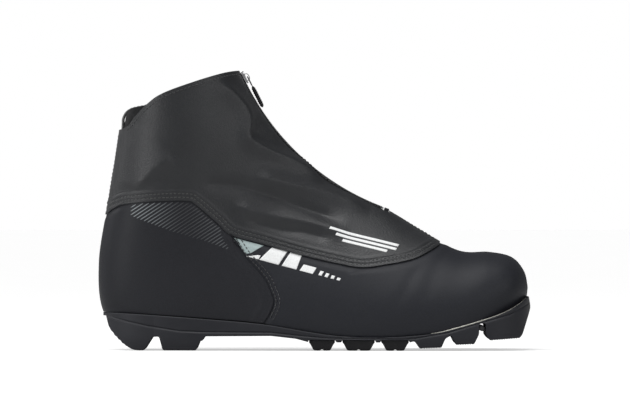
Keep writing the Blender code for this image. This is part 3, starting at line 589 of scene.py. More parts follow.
class Look:
    """A Principled material with short ways to add procedural nodes."""

    def __init__(self, name, colour, roughness, coordinates="Object", **sockets):
        """Coordinates are UV (metres along the cloth) or Object (the frame's own metres)."""
        self.material = bpy.data.materials.new(name)
        self.material.use_nodes = True
        self.tree = self.material.node_tree
        self.shader = self.tree.nodes["Principled BSDF"]
        self.shader.inputs["Base Color"].default_value = (*colour, 1)
        self.shader.inputs["Roughness"].default_value = roughness
        for socket, value in sockets.items():
            self.shader.inputs[socket.replace("_", " ")].default_value = value
        self.material.diffuse_color = (*colour, 1)
        self.place = self.add("TexCoord").outputs[coordinates]

    def feed(self, socket, value):
        """Gives an input a value, or links another node's output to it."""
        if isinstance(value, bpy.types.NodeSocket):
            self.tree.links.new(value, socket)
        else:
            socket.default_value = value

    def add(self, kind, settings=None, numbered=(), **inputs):
        """A node with inputs set by number or by name, each to a value or to another node's output."""
        node = self.tree.nodes.new(f"ShaderNode{kind}")
        for key, value in (settings or {}).items():
            setattr(node, key, value)
        for key, value in [*enumerate(numbered), *inputs.items()]:
            self.feed(node.inputs[key], value)
        return node

    def noise(self, scale, detail=3.0, rough=0.5):
        inputs = {"Scale": scale, "Detail": detail, "Roughness": rough}
        return self.add("TexNoise", Vector=self.place, **inputs).outputs["Fac"]

    def wave(self, pitch, direction="X"):
        """Bands with the given pitch in metres."""
        settings = {"wave_type": "BANDS", "bands_direction": direction, "wave_profile": "SIN"}
        inputs = {"Scale": math.pi / 10 / pitch, "Distortion": 0.0, "Detail": 0.0}
        return self.add("TexWave", settings, Vector=self.place, **inputs).outputs["Fac"]

    def cells(self, scale):
        return self.add("TexVoronoi", {"feature": "F1"}, Vector=self.place, Scale=scale).outputs["Distance"]

    def maths(self, operation, a, b=0.0):
        return self.add("Math", {"operation": operation}, (a, b)).outputs[0]

    def between(self, value, low, high, out_low=0.0, out_high=1.0):
        """A smooth step: out_low below low, out_high above high."""
        settings = {"interpolation_type": "SMOOTHSTEP", "clamp": True}
        return self.add("MapRange", settings, (value, low, high, out_low, out_high)).outputs[0]

    def mix(self, factor, a, b):
        """Colour between a and b; each is a colour or a socket."""
        node = self.add("Mix", {"data_type": "RGBA"}, (factor,))
        for socket, value in ((node.inputs[6], a), (node.inputs[7], b)):
            self.feed(socket, (*value, 1) if isinstance(value, tuple) else value)
        return node.outputs[2]

    def shades(self, value, low, high, dark, light):
        """Colour that goes from dark to light as value goes from low to high."""
        return self.mix(self.between(value, low, high), dark, light)

    def colour(self, socket):
        self.tree.links.new(socket, self.shader.inputs["Base Color"])

    def roughness(self, value, low, high):
        self.tree.links.new(self.between(value, 0.25, 0.75, low, high), self.shader.inputs["Roughness"])

    def bump(self, height, distance, strength=1.0, under=None):
        node = self.add("Bump", Height=height, Strength=strength, Distance=distance * MM)
        if under is not None:
            self.tree.links.new(under, node.inputs["Normal"])
        self.tree.links.new(node.outputs[0], self.shader.inputs["Normal"])
        return node.outputs[0]


def painted_edge_highlight(look, base, highlight_colour):
    """Painted highlight: colour that turns lighter along convex edges, broken up by speckle."""
    bevel = look.add("Bevel", {"samples": 6}, Radius=0.0006)
    shape = look.add("NewGeometry")
    turn = look.add("VectorMath", {"operation": "DOT_PRODUCT"}, (bevel.outputs[0], shape.outputs["Normal"]))
    edge = look.between(turn.outputs["Value"], 0.985, 0.90)
    speckle = look.between(look.noise(900, 4.0, 0.6), 0.35, 0.7)
    return look.mix(look.maths("MULTIPLY", edge, speckle), base, highlight_colour)


def softshell_look():
    """Stretch softshell: a fine plain weave under a thin matt laminate, with a faint sheen."""
    look = Look("softshell", (0.012, 0.0125, 0.0145), 0.42, "UV", Sheen_Weight=0.05, Sheen_Roughness=0.4,
                Specular_IOR_Level=0.5)
    warp, weft = look.wave(0.00062, "X"), look.wave(0.00062, "Y")
    weave = look.maths("MAXIMUM", look.maths("MULTIPLY", warp, 0.9), weft)
    cloud = look.noise(38, 4.0, 0.55)
    fine = look.noise(1500, 2.0, 0.6)
    base = look.shades(cloud, 0.3, 0.7, (0.0072, 0.0080, 0.0100), (0.0104, 0.0114, 0.0136))
    thread = look.maths("MULTIPLY", weave, look.between(fine, 0.2, 0.9, 0.55, 1.0))
    look.colour(look.mix(look.maths("MULTIPLY", thread, 0.38), base, (0.0205, 0.0220, 0.0245)))
    look.roughness(fine, 0.36, 0.48)
    soft = look.bump(cloud, 0.25, 0.35)
    grain = look.bump(look.noise(700, 3.0, 0.65), 0.30, 0.8, under=soft)
    look.bump(weave, 0.05, 0.45, under=grain)
    return look.material


def leather_look(name, dark, light):
    """Coated synthetic leather: small pebbled grain, a little colour variation."""
    look = Look(name, light, 0.5, Specular_IOR_Level=0.22)
    creased = look.noise(900, 5.0, 0.6)
    pebbles = look.maths("MULTIPLY", look.cells(1980), creased)
    cloud = look.noise(26, 4.0, 0.6)
    base = look.shades(cloud, 0.3, 0.72, dark, light)
    look.colour(look.shades(pebbles, 0.12, 0.34, base, shade(light, 1.2)))
    look.roughness(creased, 0.43, 0.58)
    soft = look.bump(cloud, 0.3, 0.25)
    look.bump(pebbles, 0.05, 0.35, under=soft)
    return look.material


def rubber_look(name, dark, light, rough):
    """Moulded rubber: fine spark-eroded texture, with a speckled painted highlight along its edges."""
    look = Look(name, light, rough, Specular_IOR_Level=0.3)
    cloud = look.noise(34, 5.0, 0.6)
    base = look.shades(cloud, 0.3, 0.7, dark, light)
    # painted highlight: the colour lightens along the rubber's convex edges
    look.colour(painted_edge_highlight(look, base, tuple(2.1 * c + 0.006 for c in light)))
    look.roughness(cloud, rough - 0.08, rough + 0.1)
    look.bump(look.noise(1700, 3.0, 0.65), 0.06, 0.35)
    return look.material


def fleece_look(name, colour):
    """Brushed lining: short matt pile in small tufts."""
    look = Look(name, colour, 0.95, Sheen_Weight=0.06, Sheen_Roughness=0.6, Specular_IOR_Level=0.1)
    pile = look.noise(1100, 5.0, 0.75)
    tufts = look.noise(210, 4.0, 0.6)
    deep = look.maths("MULTIPLY", pile, tufts)
    look.colour(look.shades(deep, 0.12, 0.42, shade(colour, 0.55), shade(colour, 1.8)))
    look.bump(look.maths("ADD", pile, tufts), 0.45, 0.6)
    return look.material


def woven_look(name, colour, pitch, ribs):
    """Webbing or tape: ribs across the strip and a twill along it (UV: along, across)."""
    look = Look(name, colour, 0.8, "UV", Sheen_Weight=0.25, Sheen_Roughness=0.5)
    rib = look.maths("ADD", look.wave(ribs), 0.35)
    twill = look.maths("ADD", look.wave(pitch, "DIAGONAL"), 0.4)
    weave = look.maths("MULTIPLY", rib, twill)
    fluffy = look.maths("MULTIPLY", weave, look.noise(1400, 3.0, 0.6))
    look.colour(look.shades(fluffy, 0.1, 0.75, shade(colour, 0.55), shade(colour, 1.9)))
    look.bump(weave, 0.16, 0.6)
    return look.material


def metal_look(name, colour, rough):
    """Plated steel with fine scratches and soft cloudy wear."""
    look = Look(name, colour, rough, Metallic=1.0)
    cloud = look.noise(240, 4.0, 0.6)
    look.colour(look.shades(cloud, 0.3, 0.7, shade(colour, 0.82), colour))
    look.roughness(cloud, max(rough - 0.08, 0.08), rough + 0.14)
    look.bump(look.noise(2600, 2.0, 0.5), 0.02, 0.24)
    return look.material


def plastic_look(name, colour, rough):
    look = Look(name, colour, rough)
    cloud = look.noise(420, 4.0, 0.6)
    look.colour(look.shades(cloud, 0.3, 0.7, shade(colour, 0.8), shade(colour, 1.2)))
    look.roughness(cloud, rough - 0.08, rough + 0.08)
    look.bump(look.noise(2400, 2.0, 0.5), 0.02, 0.3)
    return look.material


def thread_look(name, colour):
    """Twisted polyester thread."""
    look = Look(name, colour, 0.62, Sheen_Weight=0.3)
    twist = look.wave(0.0005, "DIAGONAL")
    fuzzy = look.maths("MULTIPLY", twist, look.noise(2500, 2.0, 0.6))
    look.colour(look.mix(fuzzy, shade(colour, 0.6), shade(colour, 1.5)))
    look.bump(twist, 0.05, 0.5)
    return look.material


def print_look(name, colour, under=None, fade=None):
    """Screen print on the upper; with fade it thins out towards the middle of a range of x."""
    look = Look(name, colour, 0.5)
    speck = look.noise(1500, 3.0, 0.6)
    ink = look.shades(speck, 0.25, 0.6, shade(colour, 0.8), colour)
    if fade:
        low, middle, high, least = fade
        x = look.add("SeparateXYZ", Vector=look.place).outputs[0]
        left = look.between(x, low * MM, middle * MM, 1.0, least)
        right = look.between(x, middle * MM, high * MM, 0.0, 0.30)
        ink = look.mix(look.maths("ADD", left, right), under, ink)
    look.colour(ink)
    look.bump(speck, 0.02, 0.3)
    return look.material


SOFTSHELL = softshell_look()
VAMP_SKIN = leather_look("vamp_skin", (0.0120, 0.0130, 0.0165), (0.0146, 0.0156, 0.0196))
HEEL_SKIN = leather_look("heel_skin", (0.0110, 0.0115, 0.0145), (0.0136, 0.0142, 0.0174))
SOLE_RUBBER = rubber_look("sole_rubber", (0.0125, 0.0132, 0.0170), (0.0165, 0.0172, 0.0215), 0.52)
TREAD_RUBBER = rubber_look("tread_rubber", (0.005, 0.005, 0.006), (0.0085, 0.0085, 0.010), 0.6)
LINING = fleece_look("lining", (0.0065, 0.0066, 0.0076))
TONGUE_SKIN = woven_look("tongue_mesh", (0.032, 0.034, 0.038), 0.0011, 0.0016)
WEBBING = woven_look("webbing", (0.011, 0.011, 0.012), 0.0016, 0.0011)
TAPE_CLOTH = woven_look("zip_tape", (0.012, 0.012, 0.013), 0.0008, 0.0009)
TEETH_PLASTIC = plastic_look("zip_teeth", (0.035, 0.035, 0.038), 0.38)
ZIP_METAL = metal_look("zip_metal", (0.40, 0.40, 0.41), 0.30)
WIRE_METAL = metal_look("wire_metal", (0.17, 0.17, 0.18), 0.34)
EYELET_METAL = metal_look("eyelet_metal", (0.16, 0.16, 0.17), 0.34)
BAR_STEEL = metal_look("bar_steel", (0.22, 0.22, 0.23), 0.34)
SHANK_STEEL = metal_look("shank_steel", (0.42, 0.43, 0.45), 0.42)
DARK_METAL = metal_look("dark_metal", (0.045, 0.045, 0.048), 0.5)
GRIP_RUBBER = rubber_look("pull_rubber", (0.0040, 0.0040, 0.0045), (0.0065, 0.0065, 0.0070), 0.68)
LACE_WEAVE = woven_look("lace", (0.024, 0.024, 0.026), 0.0012, 0.0014)
THREAD = thread_look("thread", (0.034, 0.036, 0.036))
DARK_THREAD = thread_look("dark_thread", (0.0125, 0.0130, 0.0150))
EDGE_THREAD = thread_look("edge_thread", (0.013, 0.014, 0.016))
# cream colour of the thin cord laid round the toe along the feather line
CREAM_CORD = plastic_look("cream_cord", (0.60, 0.59, 0.53), 0.5)
WHITE_INK = print_look("white_ink", (0.83, 0.84, 0.84))
GREY_INK = print_look("grey_ink", (0.36, 0.44, 0.44))
STRIPE_INK = print_look("stripe_ink", (0.20, 0.22, 0.23), (0.0165, 0.0170, 0.0205), (-128, -90, -58, 0.04))
BOARD = plastic_look("lasting_board", (0.30, 0.24, 0.17), 0.85)
STIFFENER = plastic_look("stiffener", (0.33, 0.31, 0.27), 0.75)
FOAM = fleece_look("footbed_foam", (0.055, 0.057, 0.064))

# ---------------------------------------------------------------- the upper

# Creases of the lace cover as side-view lines: (points, height, width above, width below).
CREASES = [
    ([(-71.8, 189.4), (-62.7, 183.7), (-56.6, 177.7), (-49.6, 169.7), (-46.1, 160.7), (-46.6, 148.7),
      (-39.6, 142.7), (-29.7, 137.6), (-17.6, 132.7), (-6.7, 126.6), (-0.6, 122.6), (8.8, 117)],
     3.3, 4.4, 5.6),
    ([(-46, 121), (-39.6, 119.6), (-22.7, 116.6), (-6.7, 112.6), (11.4, 106.7), (27.4, 101.6), (40, 96)],
     2.6, 7.0, 4.4),
    ([(-80, 116), (-64, 115.4), (-49.6, 113.7), (-35.6, 109.6), (-22.7, 105.6), (-6.7, 99.7), (7.4, 94.8),
      (24, 88)], -2.7, 4.2, 4.4),
    ([(-60, 102), (-42.6, 96.7), (-27.7, 92.7), (-14.6, 90.7), (6, 86), (26, 80)], 2.2, 4.6, 5.6),
    ([(-49.6, 91.6), (-22.7, 83.6), (-6.7, 82.6), (14, 76)], -1.6, 4.4, 4.4),
    ([(-97, 134), (-108.9, 128), (-119, 118), (-128, 106)], 2.0, 5.0, 9.0),
]
BAND_TOP, BAND_LOW = 66.8, 20.0  # arc angles of the ends of the zip's tape
FRONT_TIP = 8.47  # s at the front tip of the cover
CLOSED_Y = 0.12  # the cover's front edge from the middle plane, where it closes beyond the zip


def top_angle(s):
    """Angle on the zip's arc of the top of section s."""
    (tx, tz) = ends(s)[0]
    return np.degrees(np.arctan2(ZIP_X - tx, ZIP_Z - tz))


def s_at_angle(angle):
    angle = np.asarray(angle, float)
    return solve_s(lambda s: top_angle(s) - angle, 0, 9, angle.shape)


def along(line, x, z):
    """Signed side-view distance to a polyline (positive above it) and the share of its length there."""
    starts = run_length(line)
    best, signed, share = np.full(x.shape, 1e9), np.zeros(x.shape), np.zeros(x.shape)
    for (ax, az), (bx, bz), start, length in zip(line[:-1], line[1:], starts, np.diff(starts)):
        dx, dz = (bx - ax) / length, (bz - az) / length
        t = np.clip((x - ax) * dx + (z - az) * dz, 0, length)
        gap = np.hypot(x - ax - t * dx, z - az - t * dz)
        closer = gap < best
        turn = (z - az) * dx - (x - ax) * dz
        best = np.where(closer, gap, best)
        signed = np.where(closer, np.where(turn > 0, gap, -gap), signed)
        share = np.where(closer, (start + t) / starts[-1], share)
    return signed, share


def creases(x, z, side):
    """Height of the folds in the soft cover; the medial side has the same ones, lower and shifted."""
    total = np.zeros(x.shape)
    shift, scale = ((0.0, 0.0), 1.0) if side < 0 else ((2.5, -2.0), 0.8)
    for line, height, above, below in CREASES:
        signed, share = along(smooth_line(np.asarray(line, float) + shift, 3), x, z)
        width = np.where(signed > 0, above, below)
        fade = ease(0, 0.16, share) * (1 - ease(0.80, 1.0, share))
        total += scale * height * fade * np.exp(-np.abs(signed / width) ** 1.6)
    total += 0.22 * np.sin(x / 9.0 + 0.9 * np.sin(z / 13.0)) * np.sin(z / 11.0 + side)
    return total


def cover_offset(x, z, s, side):
    """How far the lace cover stands off the last: folds, and the doubled hem with its stitch rows."""
    shape = np.shape(x)
    x, z = np.broadcast_arrays(x, z)
    near = distance_to(HEM_LINE, x, z)
    calm = ease(5, 16, near)
    rows = hump(near, 2.2, 0.55) + hump(near, 4.8, 0.55)
    lift = 0.38 * (1 - ease(6.4, 8.2, near)) - 0.26 * rows
    return (calm * creases(x, z, side) + lift).reshape(shape)


def on_hull(line, stop_x):
    """s and phi of a side-view line from the middle of the heel's back to where it reaches stop_x."""
    x, z = evenly(line, 4000).T
    s, phi = locate(x, z)
    first = max(int(np.argmax(phi > 1e-3)) - 1, 0)
    last = int(np.argmax(x > stop_x))
    return s[first:last], phi[first:last]


HEM_S, HEM_PHI = on_hull(HEM_LINE, 88.0)
HEEL_TOP = float(HEM_S[0])


def cover_edge(s):
    """phi of the cover's front edge: beside the zip, and closing to a seam beyond its end."""
    y = CLOSED_Y + (EDGE_Y - CLOSED_Y) * ease(17.0, 20.8, top_angle(s))
    return phi_at_y(y, s)


def collar_s(phi):
    """s at which the collar line crosses the hull, for each phi."""
    def above(s):
        point = skin(s, phi, 1.0)
        return point[..., 2] - line_z(COLLAR_LINE, point[..., 0])
    return solve_s(above, 0.2, 3.5, phi.shape)


def back_line(start, stop, count=200):
    """The middle of the heel's back between two s."""
    return np.linspace(start, stop, count), np.zeros(count), count


def build_cover_half(name, side, columns=250, rows=100, collar_columns=106):
    before_tip = HEM_S < FRONT_TIP
    tip_phi = phi_on(HEM_LINE, np.array([FRONT_TIP]))
    hem = np.append(HEM_S[before_tip], FRONT_TIP), np.append(HEM_PHI[before_tip], tip_phi), columns
    start = collar_s(np.array([math.pi - 0.15]))[0]
    s = np.linspace(start, FRONT_TIP, 1500)
    edge = s, cover_edge(s), columns - collar_columns + 1
    phi = np.linspace(0, edge[1][0], 800)
    rim = collar_s(phi)
    rim += (start - rim[-1]) * phi / phi[-1]
    back = back_line(HEEL_TOP, rim[0])
    tip = np.full(50, FRONT_TIP), np.linspace(hem[1][-1], edge[1][-1], 50), 50
    shares = np.linspace(0, 1, rows) ** 1.3
    points, _ = patch(side, [hem], [(rim, phi, collar_columns), edge], back, tip, shares, cover_offset)
    points[..., 1] = side * np.maximum(side * points[..., 1], 0.06)
    return finish_sheet(grid_sheet(name, points, side, SOFTSHELL, "softshell"), 1.3, 0.35)


def heel_offset(x, z, s, side):
    """The heel overlay's face: doubled along the front seam, sunk a little under the cover's hem."""
    x, z = np.broadcast_arrays(x, z)
    near = np.abs(along(HEEL_SEAM_LINE, x, z)[0])
    rows = hump(near, 2.0, 0.6) + hump(near, 4.6, 0.6)
    under = 1 - ease(0.5, 4, distance_to(HEM_LINE, x, z))
    return 0.32 * (1 - ease(7, 10, near)) - 0.2 * rows - 0.55 * under


def build_heel_panel(columns=150, rows=76):
    """Overlay round the heel, from the back of the cover's hem to the seam on the vamp."""
    feather_back = float(solve_s(lambda s: phi_on(FEATHER_LINE, s) < 1e-6, 3.0, 5.0, ())) + 0.002
    seam = evenly(HEEL_SEAM_LINE[HEEL_SEAM_LINE[:, 1] < 81.5], 160)
    above = seam[:, 1] > line_z(FEATHER_LINE, seam[:, 0])
    below = seam[:, 1] < line_z(HEM_LINE, seam[:, 0]) + 0.4
    seam_s, seam_phi = (values[above & below][::-1] for values in locate(*seam.T))

    def half(side):
        seam_top = skin(seam_s[-1], seam_phi[-1], side)[0] - 0.2
        s = feather_back + (seam_s[0] - feather_back) * np.linspace(0, 1, 2000) ** 2
        bottom = s, np.where(s > feather_back, phi_on(FEATHER_LINE, s), 0), columns
        s, phi = on_hull(HEM_LINE + (0, 1.5), seam_top)
        top = np.append(s, seam_s[-1]), np.append(phi, seam_phi[-1]), columns
        left, right = back_line(feather_back, s[0]), (seam_s, seam_phi, rows)
        return patch(side, [bottom], [top], left, right, np.linspace(0, 1, rows), heel_offset)

    return finish_sheet(panel_pair("heel_overlay", half, HEEL_SKIN, "heel_skin")[0], 1.5, 0.35, merge=0.02)


def vamp_offset(x, z, s, side):
    """The vamp's face: sunk under the heel overlay and under the cover's hem, creased at the ball."""
    x, z = np.broadcast_arrays(x, z)
    gap = np.abs(along(HEEL_SEAM_LINE, x, z)[0])
    at_seam = 1 - ease(-0.5, 5, np.where(x > at_height(HEEL_SEAM_LINE, z), gap, -gap))
    above = z - line_z(HEM_LINE, x)
    sunk = np.maximum(at_seam, ease(-5, 0.5, above))
    flex = 0.35 * hump(x - 0.5 * (z - 40), 62, 5) + 0.3 * hump(x - 0.4 * (z - 40), 78, 6)
    flex = flex * ease(22, 40, z) * (1 - ease(-12, -2, above))
    soft = 0.12 * np.sin(x / 8.0 + side) * np.sin(z / 9.0 + x / 23.0)
    return -0.85 * sunk - flex + soft * (1 - sunk)


def build_vamp(columns=210, rows=84):
    """The vamp, from under the heel overlay to the toe, with rows closer together near both edges."""
    t = np.linspace(0, 1, rows)
    shares = t - 0.2 * t * (1 - t) * (1 - 2 * t)

    def half(side):
        def seam(phi_of):
            def before_seam(s):
                point = skin(s, phi_of(s), side)
                return at_height(HEEL_SEAM_LINE, point[..., 2]) - 4.0 - point[..., 0]
            return solve_s(before_seam, 3.0, 8.0, (rows, 1))

        def high(s):
            under = phi_on(HEM_LINE + (0, 5.0), s)
            return under + (math.pi - under) * ease(7.0, 7.7, s)

        return half_panel(side, seam, LAST_STATION - 0.03, FEATHER_LINE, high, columns, shares, vamp_offset)

    return finish_sheet(panel_pair("vamp_skin", half, VAMP_SKIN, "vamp_skin")[0], 1.4, 0.0, merge=0.02)


THROAT = [arc_point(angle, 26.0) for angle in range(80, 30, -3)] + [(70, 66), (84, 70), (84, 110)]


def build_liner(columns=170, rows=64, inset=3.5):
    """Fleece lining, open over the instep, its top edge padded into a soft roll."""
    throat = np.array(THROAT)

    def half(side):
        def rim(phi_of):
            def above(s):
                point = skin(s, phi_of(s), side, inset)
                rise = 1.1 * ease(-115, -121, point[..., 0])
                return point[..., 2] - line_z(LINER_RIM_LINE, point[..., 0]) - rise
            return solve_s(above, 0.2, 3.8, (rows, 1))

        def high(s):
            edge = phi_on(throat, s)
            return edge + (math.pi - edge) * ease(7.6, 8.2, s)

        low_line, shares, stop = FEATHER_LINE + (0, 0.5), np.linspace(0, 1, rows), LAST_STATION - 0.05
        return half_panel(side, rim, stop, low_line, high, columns, shares, liner_offset, inset)

    obj, points = panel_pair("liner_fleece", half, LINING, "lining", mapped=False)
    down = line_z(LINER_RIM_LINE, points[:, 0]) - points[:, 2]
    share = 0.45 + 0.55 * ease(-1, 3.5, down) * (1 - ease(7, 15, down))
    group = obj.vertex_groups.new(name="pad")
    for k, weight in enumerate(share):
        group.add([k], float(weight), "REPLACE")
    return finish_sheet(obj, 5.2, 1.0, merge=0.02, group="pad")


def liner_offset(x, z, s, side):
    """The roll of padding fills the gap behind the cover just under the lining's edge."""
    x, z = np.broadcast_arrays(x, z)
    down = line_z(LINER_RIM_LINE, x) - z
    return 1.5 * ease(0, 5, down) * (1 - ease(9, 16, down)) * ease(-128, -110, x)


stand_for(build_heel_panel(), "boot", "heel_panel")
stand_for(build_vamp(), "boot", "vamp")
liner_fleece = build_liner()
stand_for(liner_fleece, "boot", "liner")
covers = {name: build_cover_half(f"cover_{name}_half", side) for name, side in SIDES.items()}
for name, cover in covers.items():
    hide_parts(f"cuff_{name}", f"cover_front_{name}")


# ---------------------------------------------------------------- stitching, cream cord and print

PITCH, STITCH_LENGTH, THREAD_R = 2.8, 2.0, 0.30


def stitch_run(points, tangents, normals, radius=THREAD_R):
    """Arrays of one row of stitches: short threads that dip into the cloth at both ends."""
    along_stitch = STITCH_LENGTH * np.array([-0.5, -0.4, -0.18, 0.18, 0.4, 0.5])
    rise = np.array([-0.55, 0.05, 0.42, 0.42, 0.05, -0.55]) * radius
    girth = np.array([0.45, 0.9, 1.0, 1.0, 0.9, 0.45])
    ring = circle(radius, 6)
    parts = []
    for point, tangent, normal, side in zip(points, tangents, normals, np.cross(normals, tangents)):
        centre = point + tangent * along_stitch[:, None] + normal * rise[:, None]
        around = side * ring[:, :1] + normal * ring[:, 1:]
        parts.append(loft(centre[:, None] + girth[:, None, None] * around))
    return joined(parts)


def stitch_trace(*line):
    """A row of stitches along a trace(), without its two ends."""
    return stitch_run(*(values[1:-1] for values in trace(*line)))


def stitched(name, runs, look):
    return mesh_object(name, *joined(runs), look)


def seam_rows(line, side, shifts, offset):
    s, phi = locate(line[:, 0], line[:, 1])
    return [stitch_trace(s, phi, side, PITCH, -shift * side, offset) for shift in shifts]


def front_edge(start, stop):
    """s and phi along the cover's front edge between two arc angles."""
    s = s_at_angle(np.linspace(start, stop, 160))
    return s, cover_edge(s)


def hem_stretch():
    """The hem from just beside the back of the heel to the front tip of the cover."""
    return HEM_LINE[(HEM_LINE[:, 0] > -144.5) & (HEM_LINE[:, 0] < 86.5)]


def beside_back(y, s):
    """phi low on the sections at s where they are y wide, beside the middle of the heel's back."""
    _, _, lateral, medial, widest, low, high = ends(s)
    h = widest * (y / np.minimum(lateral, medial) * (1 - widest) ** high) ** (1 / low)
    return np.arccos(1 - 2 * h)


def build_cover_stitches(name, side):
    """Grey double rows round the hem and the tip, and one row on the lower front edge."""
    runs = seam_rows(hem_stretch(), side, (2.2, 4.8), cover_offset)
    s = np.linspace(s_at_angle(21.5), FRONT_TIP - 0.18, 120)
    for shift in (2.2, 4.8):
        runs.append(stitch_trace(s, cover_edge(s), side, PITCH, -shift * side, cover_offset))
    runs.append(stitch_trace(*front_edge(37, 28), side, PITCH, -2.0 * side, cover_offset))
    return stitched(f"cover_{name}_stitches", runs, THREAD)


def build_edge_stitches(name, side):
    """Rows in thread as dark as the cloth: under the collar, beside the zip and along the back seam."""
    collar = COLLAR_LINE[(COLLAR_LINE[:, 0] < -50) & (COLLAR_LINE[:, 0] > -133)]
    runs = seam_rows(collar, side, (2.6,), cover_offset)
    runs.append(stitch_trace(*front_edge(63.5, 37.8), side, PITCH, -2.0 * side, cover_offset))
    s = np.linspace(HEEL_TOP - 0.11, collar_s(np.array([0.05]))[0] + 0.03, 120)
    runs.append(stitch_trace(s, beside_back(2.4, s), side, PITCH, 0.0, cover_offset, -0.16))
    return stitched(f"cover_{name}_edge_stitches", runs, EDGE_THREAD)


def build_heel_stitches():
    runs = []
    for side in SIDES.values():
        inner = HEEL_SEAM_LINE[(HEEL_SEAM_LINE[:, 1] < 79) & (HEEL_SEAM_LINE[:, 1] > 22)]
        runs += seam_rows(inner, side, (2.0, 4.6), heel_offset)
    return stitched("heel_overlay_stitches", runs, DARK_THREAD)


def build_cream_cord():
    """Thin cream cord laid in the feather line round the toe, thinning towards both ends."""
    line = FEATHER_LINE[(FEATHER_LINE[:, 0] > 79) & (FEATHER_LINE[:, 0] < 148.9)]
    left, right = (trace_line(line, side, 1.2, 0.0, vamp_offset, 0.15) for side in SIDES.values())
    points, _, normals = (np.concatenate([b[:-1], a[::-1]]) for a, b in zip(left, right))
    run = run_length(points)
    taper = ease(0, 16, np.minimum(run, run[-1] - run))
    thin = 1 - 0.6 * ease(136, 146, points[:, 0])
    profile = circle(1.0, 8)[None] * (0.14 + 0.38 * taper * thin)[:, None, None]
    return sweep(points, normals, profile)


def ink_patch(lower, upper, side, offset, columns, rows):
    """Arrays of a thin print between two side-view lines."""
    lift, depth = 0.07, 0.12
    v = np.linspace(0, 1, rows)[:, None, None]
    across = evenly(lower, columns)[None] * (1 - v) + evenly(upper, columns)[None] * v
    s, phi = locate(across[..., 0], across[..., 1])
    top, normal = surface(s, phi, side, offset, lift)
    return slab(top, top - normal * depth)


STRIPE_ANGLE, STRIPE_PITCH, STRIPE_HALF = 33.0, 2.15, 0.36
STRIPE_FLOOR = [(-127.8, 93.4), (-98.4, 82.3), (-78, 76.6), (-57.8, 69.0), (-40, 62.0)]


def build_stripes():
    """Thin slanting stripes under the cover's hem on the heel, each cut where the field ends."""
    turn = math.radians(STRIPE_ANGLE)
    ahead = np.array([math.cos(turn), math.sin(turn)])
    floor = np.array(STRIPE_FLOOR)
    flat_ring = np.array([(-1, -0.06), (1, -0.06), (0.8, 0.05), (-0.8, 0.05)])
    t = np.linspace(0, 90, 361)
    runs = []
    for side in SIDES.values():
        for k in range(-10, 46):
            line = np.array([-128.0, 30.0 + k * STRIPE_PITCH / math.cos(turn)]) + ahead * t[:, None]
            x, z = line.T
            inside = (z > np.interp(x, *floor.T)) & (z < line_z(HEM_LINE, x) - 0.9) & (x > -127.8)
            inside &= at_height(HEEL_SEAM_LINE, np.minimum(z, 80)) - 6.4 - x > 0
            if inside.sum() < 8:
                continue
            points, normals = surface(*locate(*line[inside][::4].T), side, heel_offset, 0.03)
            order = np.arange(len(points))
            taper = np.minimum(1, np.minimum(order, order[::-1]) / 2 + 0.4)
            profile = flat_ring[None] * np.stack([STRIPE_HALF * taper, np.ones(len(points))], -1)[:, None]
            runs.append(sweep(points, normals, profile))
    return joined(runs)


PRINT_FROM, PRINT_RISE = (-48.6, 65.8), -0.266  # the lower edge of the print on the vamp
# The vamp's white blocks: lower edge from and to, upper edge from and to, and height.
VAMP_BLOCKS = [
    (-38.4, -25.0, -29.4, -18.8, 11.2), (-22.8, -12.6, -16.6, -8.8, 11.2), (-10.4, -1.2, -7.4, 1.4, 5.0),
]
SPEED_LINES = [(10.0, 48.0), (14.5, 42.0), (19.0, 31.0)]  # start and length of each line on the cover


def print_base(x, up=0.0):
    """Points on a line parallel to the lower edge of the vamp's print, up above it."""
    x = np.asarray(x, float)
    return np.stack([x, PRINT_FROM[1] + PRINT_RISE * (x - PRINT_FROM[0]) + up], -1)


def build_vamp_print(side):
    """Pale wedge in front of the seam, then white blocks cut by slashes, ending in short dashes."""
    wedge = [(-47.8, 66.9), (-43.9, 67.9)], [(-56.0, 78.6), (-35.2, 73.1)]
    grey = ink_patch(*wedge, side, vamp_offset, 24, 14)
    band = print_base(np.linspace(-47.2, -38.9, 12))
    tall = 0.4 + 2.4 * ease(-47.5, -39, band[:, 0])
    white = [ink_patch(band, band + np.stack([0.5 * tall, tall], -1), side, vamp_offset, 16, 5)]
    for low_from, low_to, high_from, high_to, tall in VAMP_BLOCKS:
        lower = print_base(np.linspace(low_from, low_to, 6))
        upper = print_base(np.linspace(high_from, high_to, 6), tall)
        white.append(ink_patch(lower, upper, side, vamp_offset, 18, 12))
    for k in range(4):
        start = 2.6 + 4.2 * k
        tall = 3.4 - 0.5 * k
        lower = print_base([start, start + 2.2], 0.3)
        upper = print_base([start + 0.5 * tall, start + 2.2 + 0.5 * tall], 0.3 + tall)
        white.append(ink_patch(lower, upper, side, vamp_offset, 6, 6))
    return grey, joined(white)


def build_cover_print(side):
    """Three slanting speed lines low on the front of the cover."""
    bars = []
    for k, (start, length) in enumerate(SPEED_LINES):
        x = np.linspace(start, start + length, 16)
        base = 85.0 - (x - 9) * 0.245 - 2.9 * k
        lower, upper = np.stack([x, base - 0.9], -1), np.stack([x + 1.0, base + 0.7], -1)
        bars.append(ink_patch(lower, upper, side, cover_offset, 44, 4))
    return joined(bars)


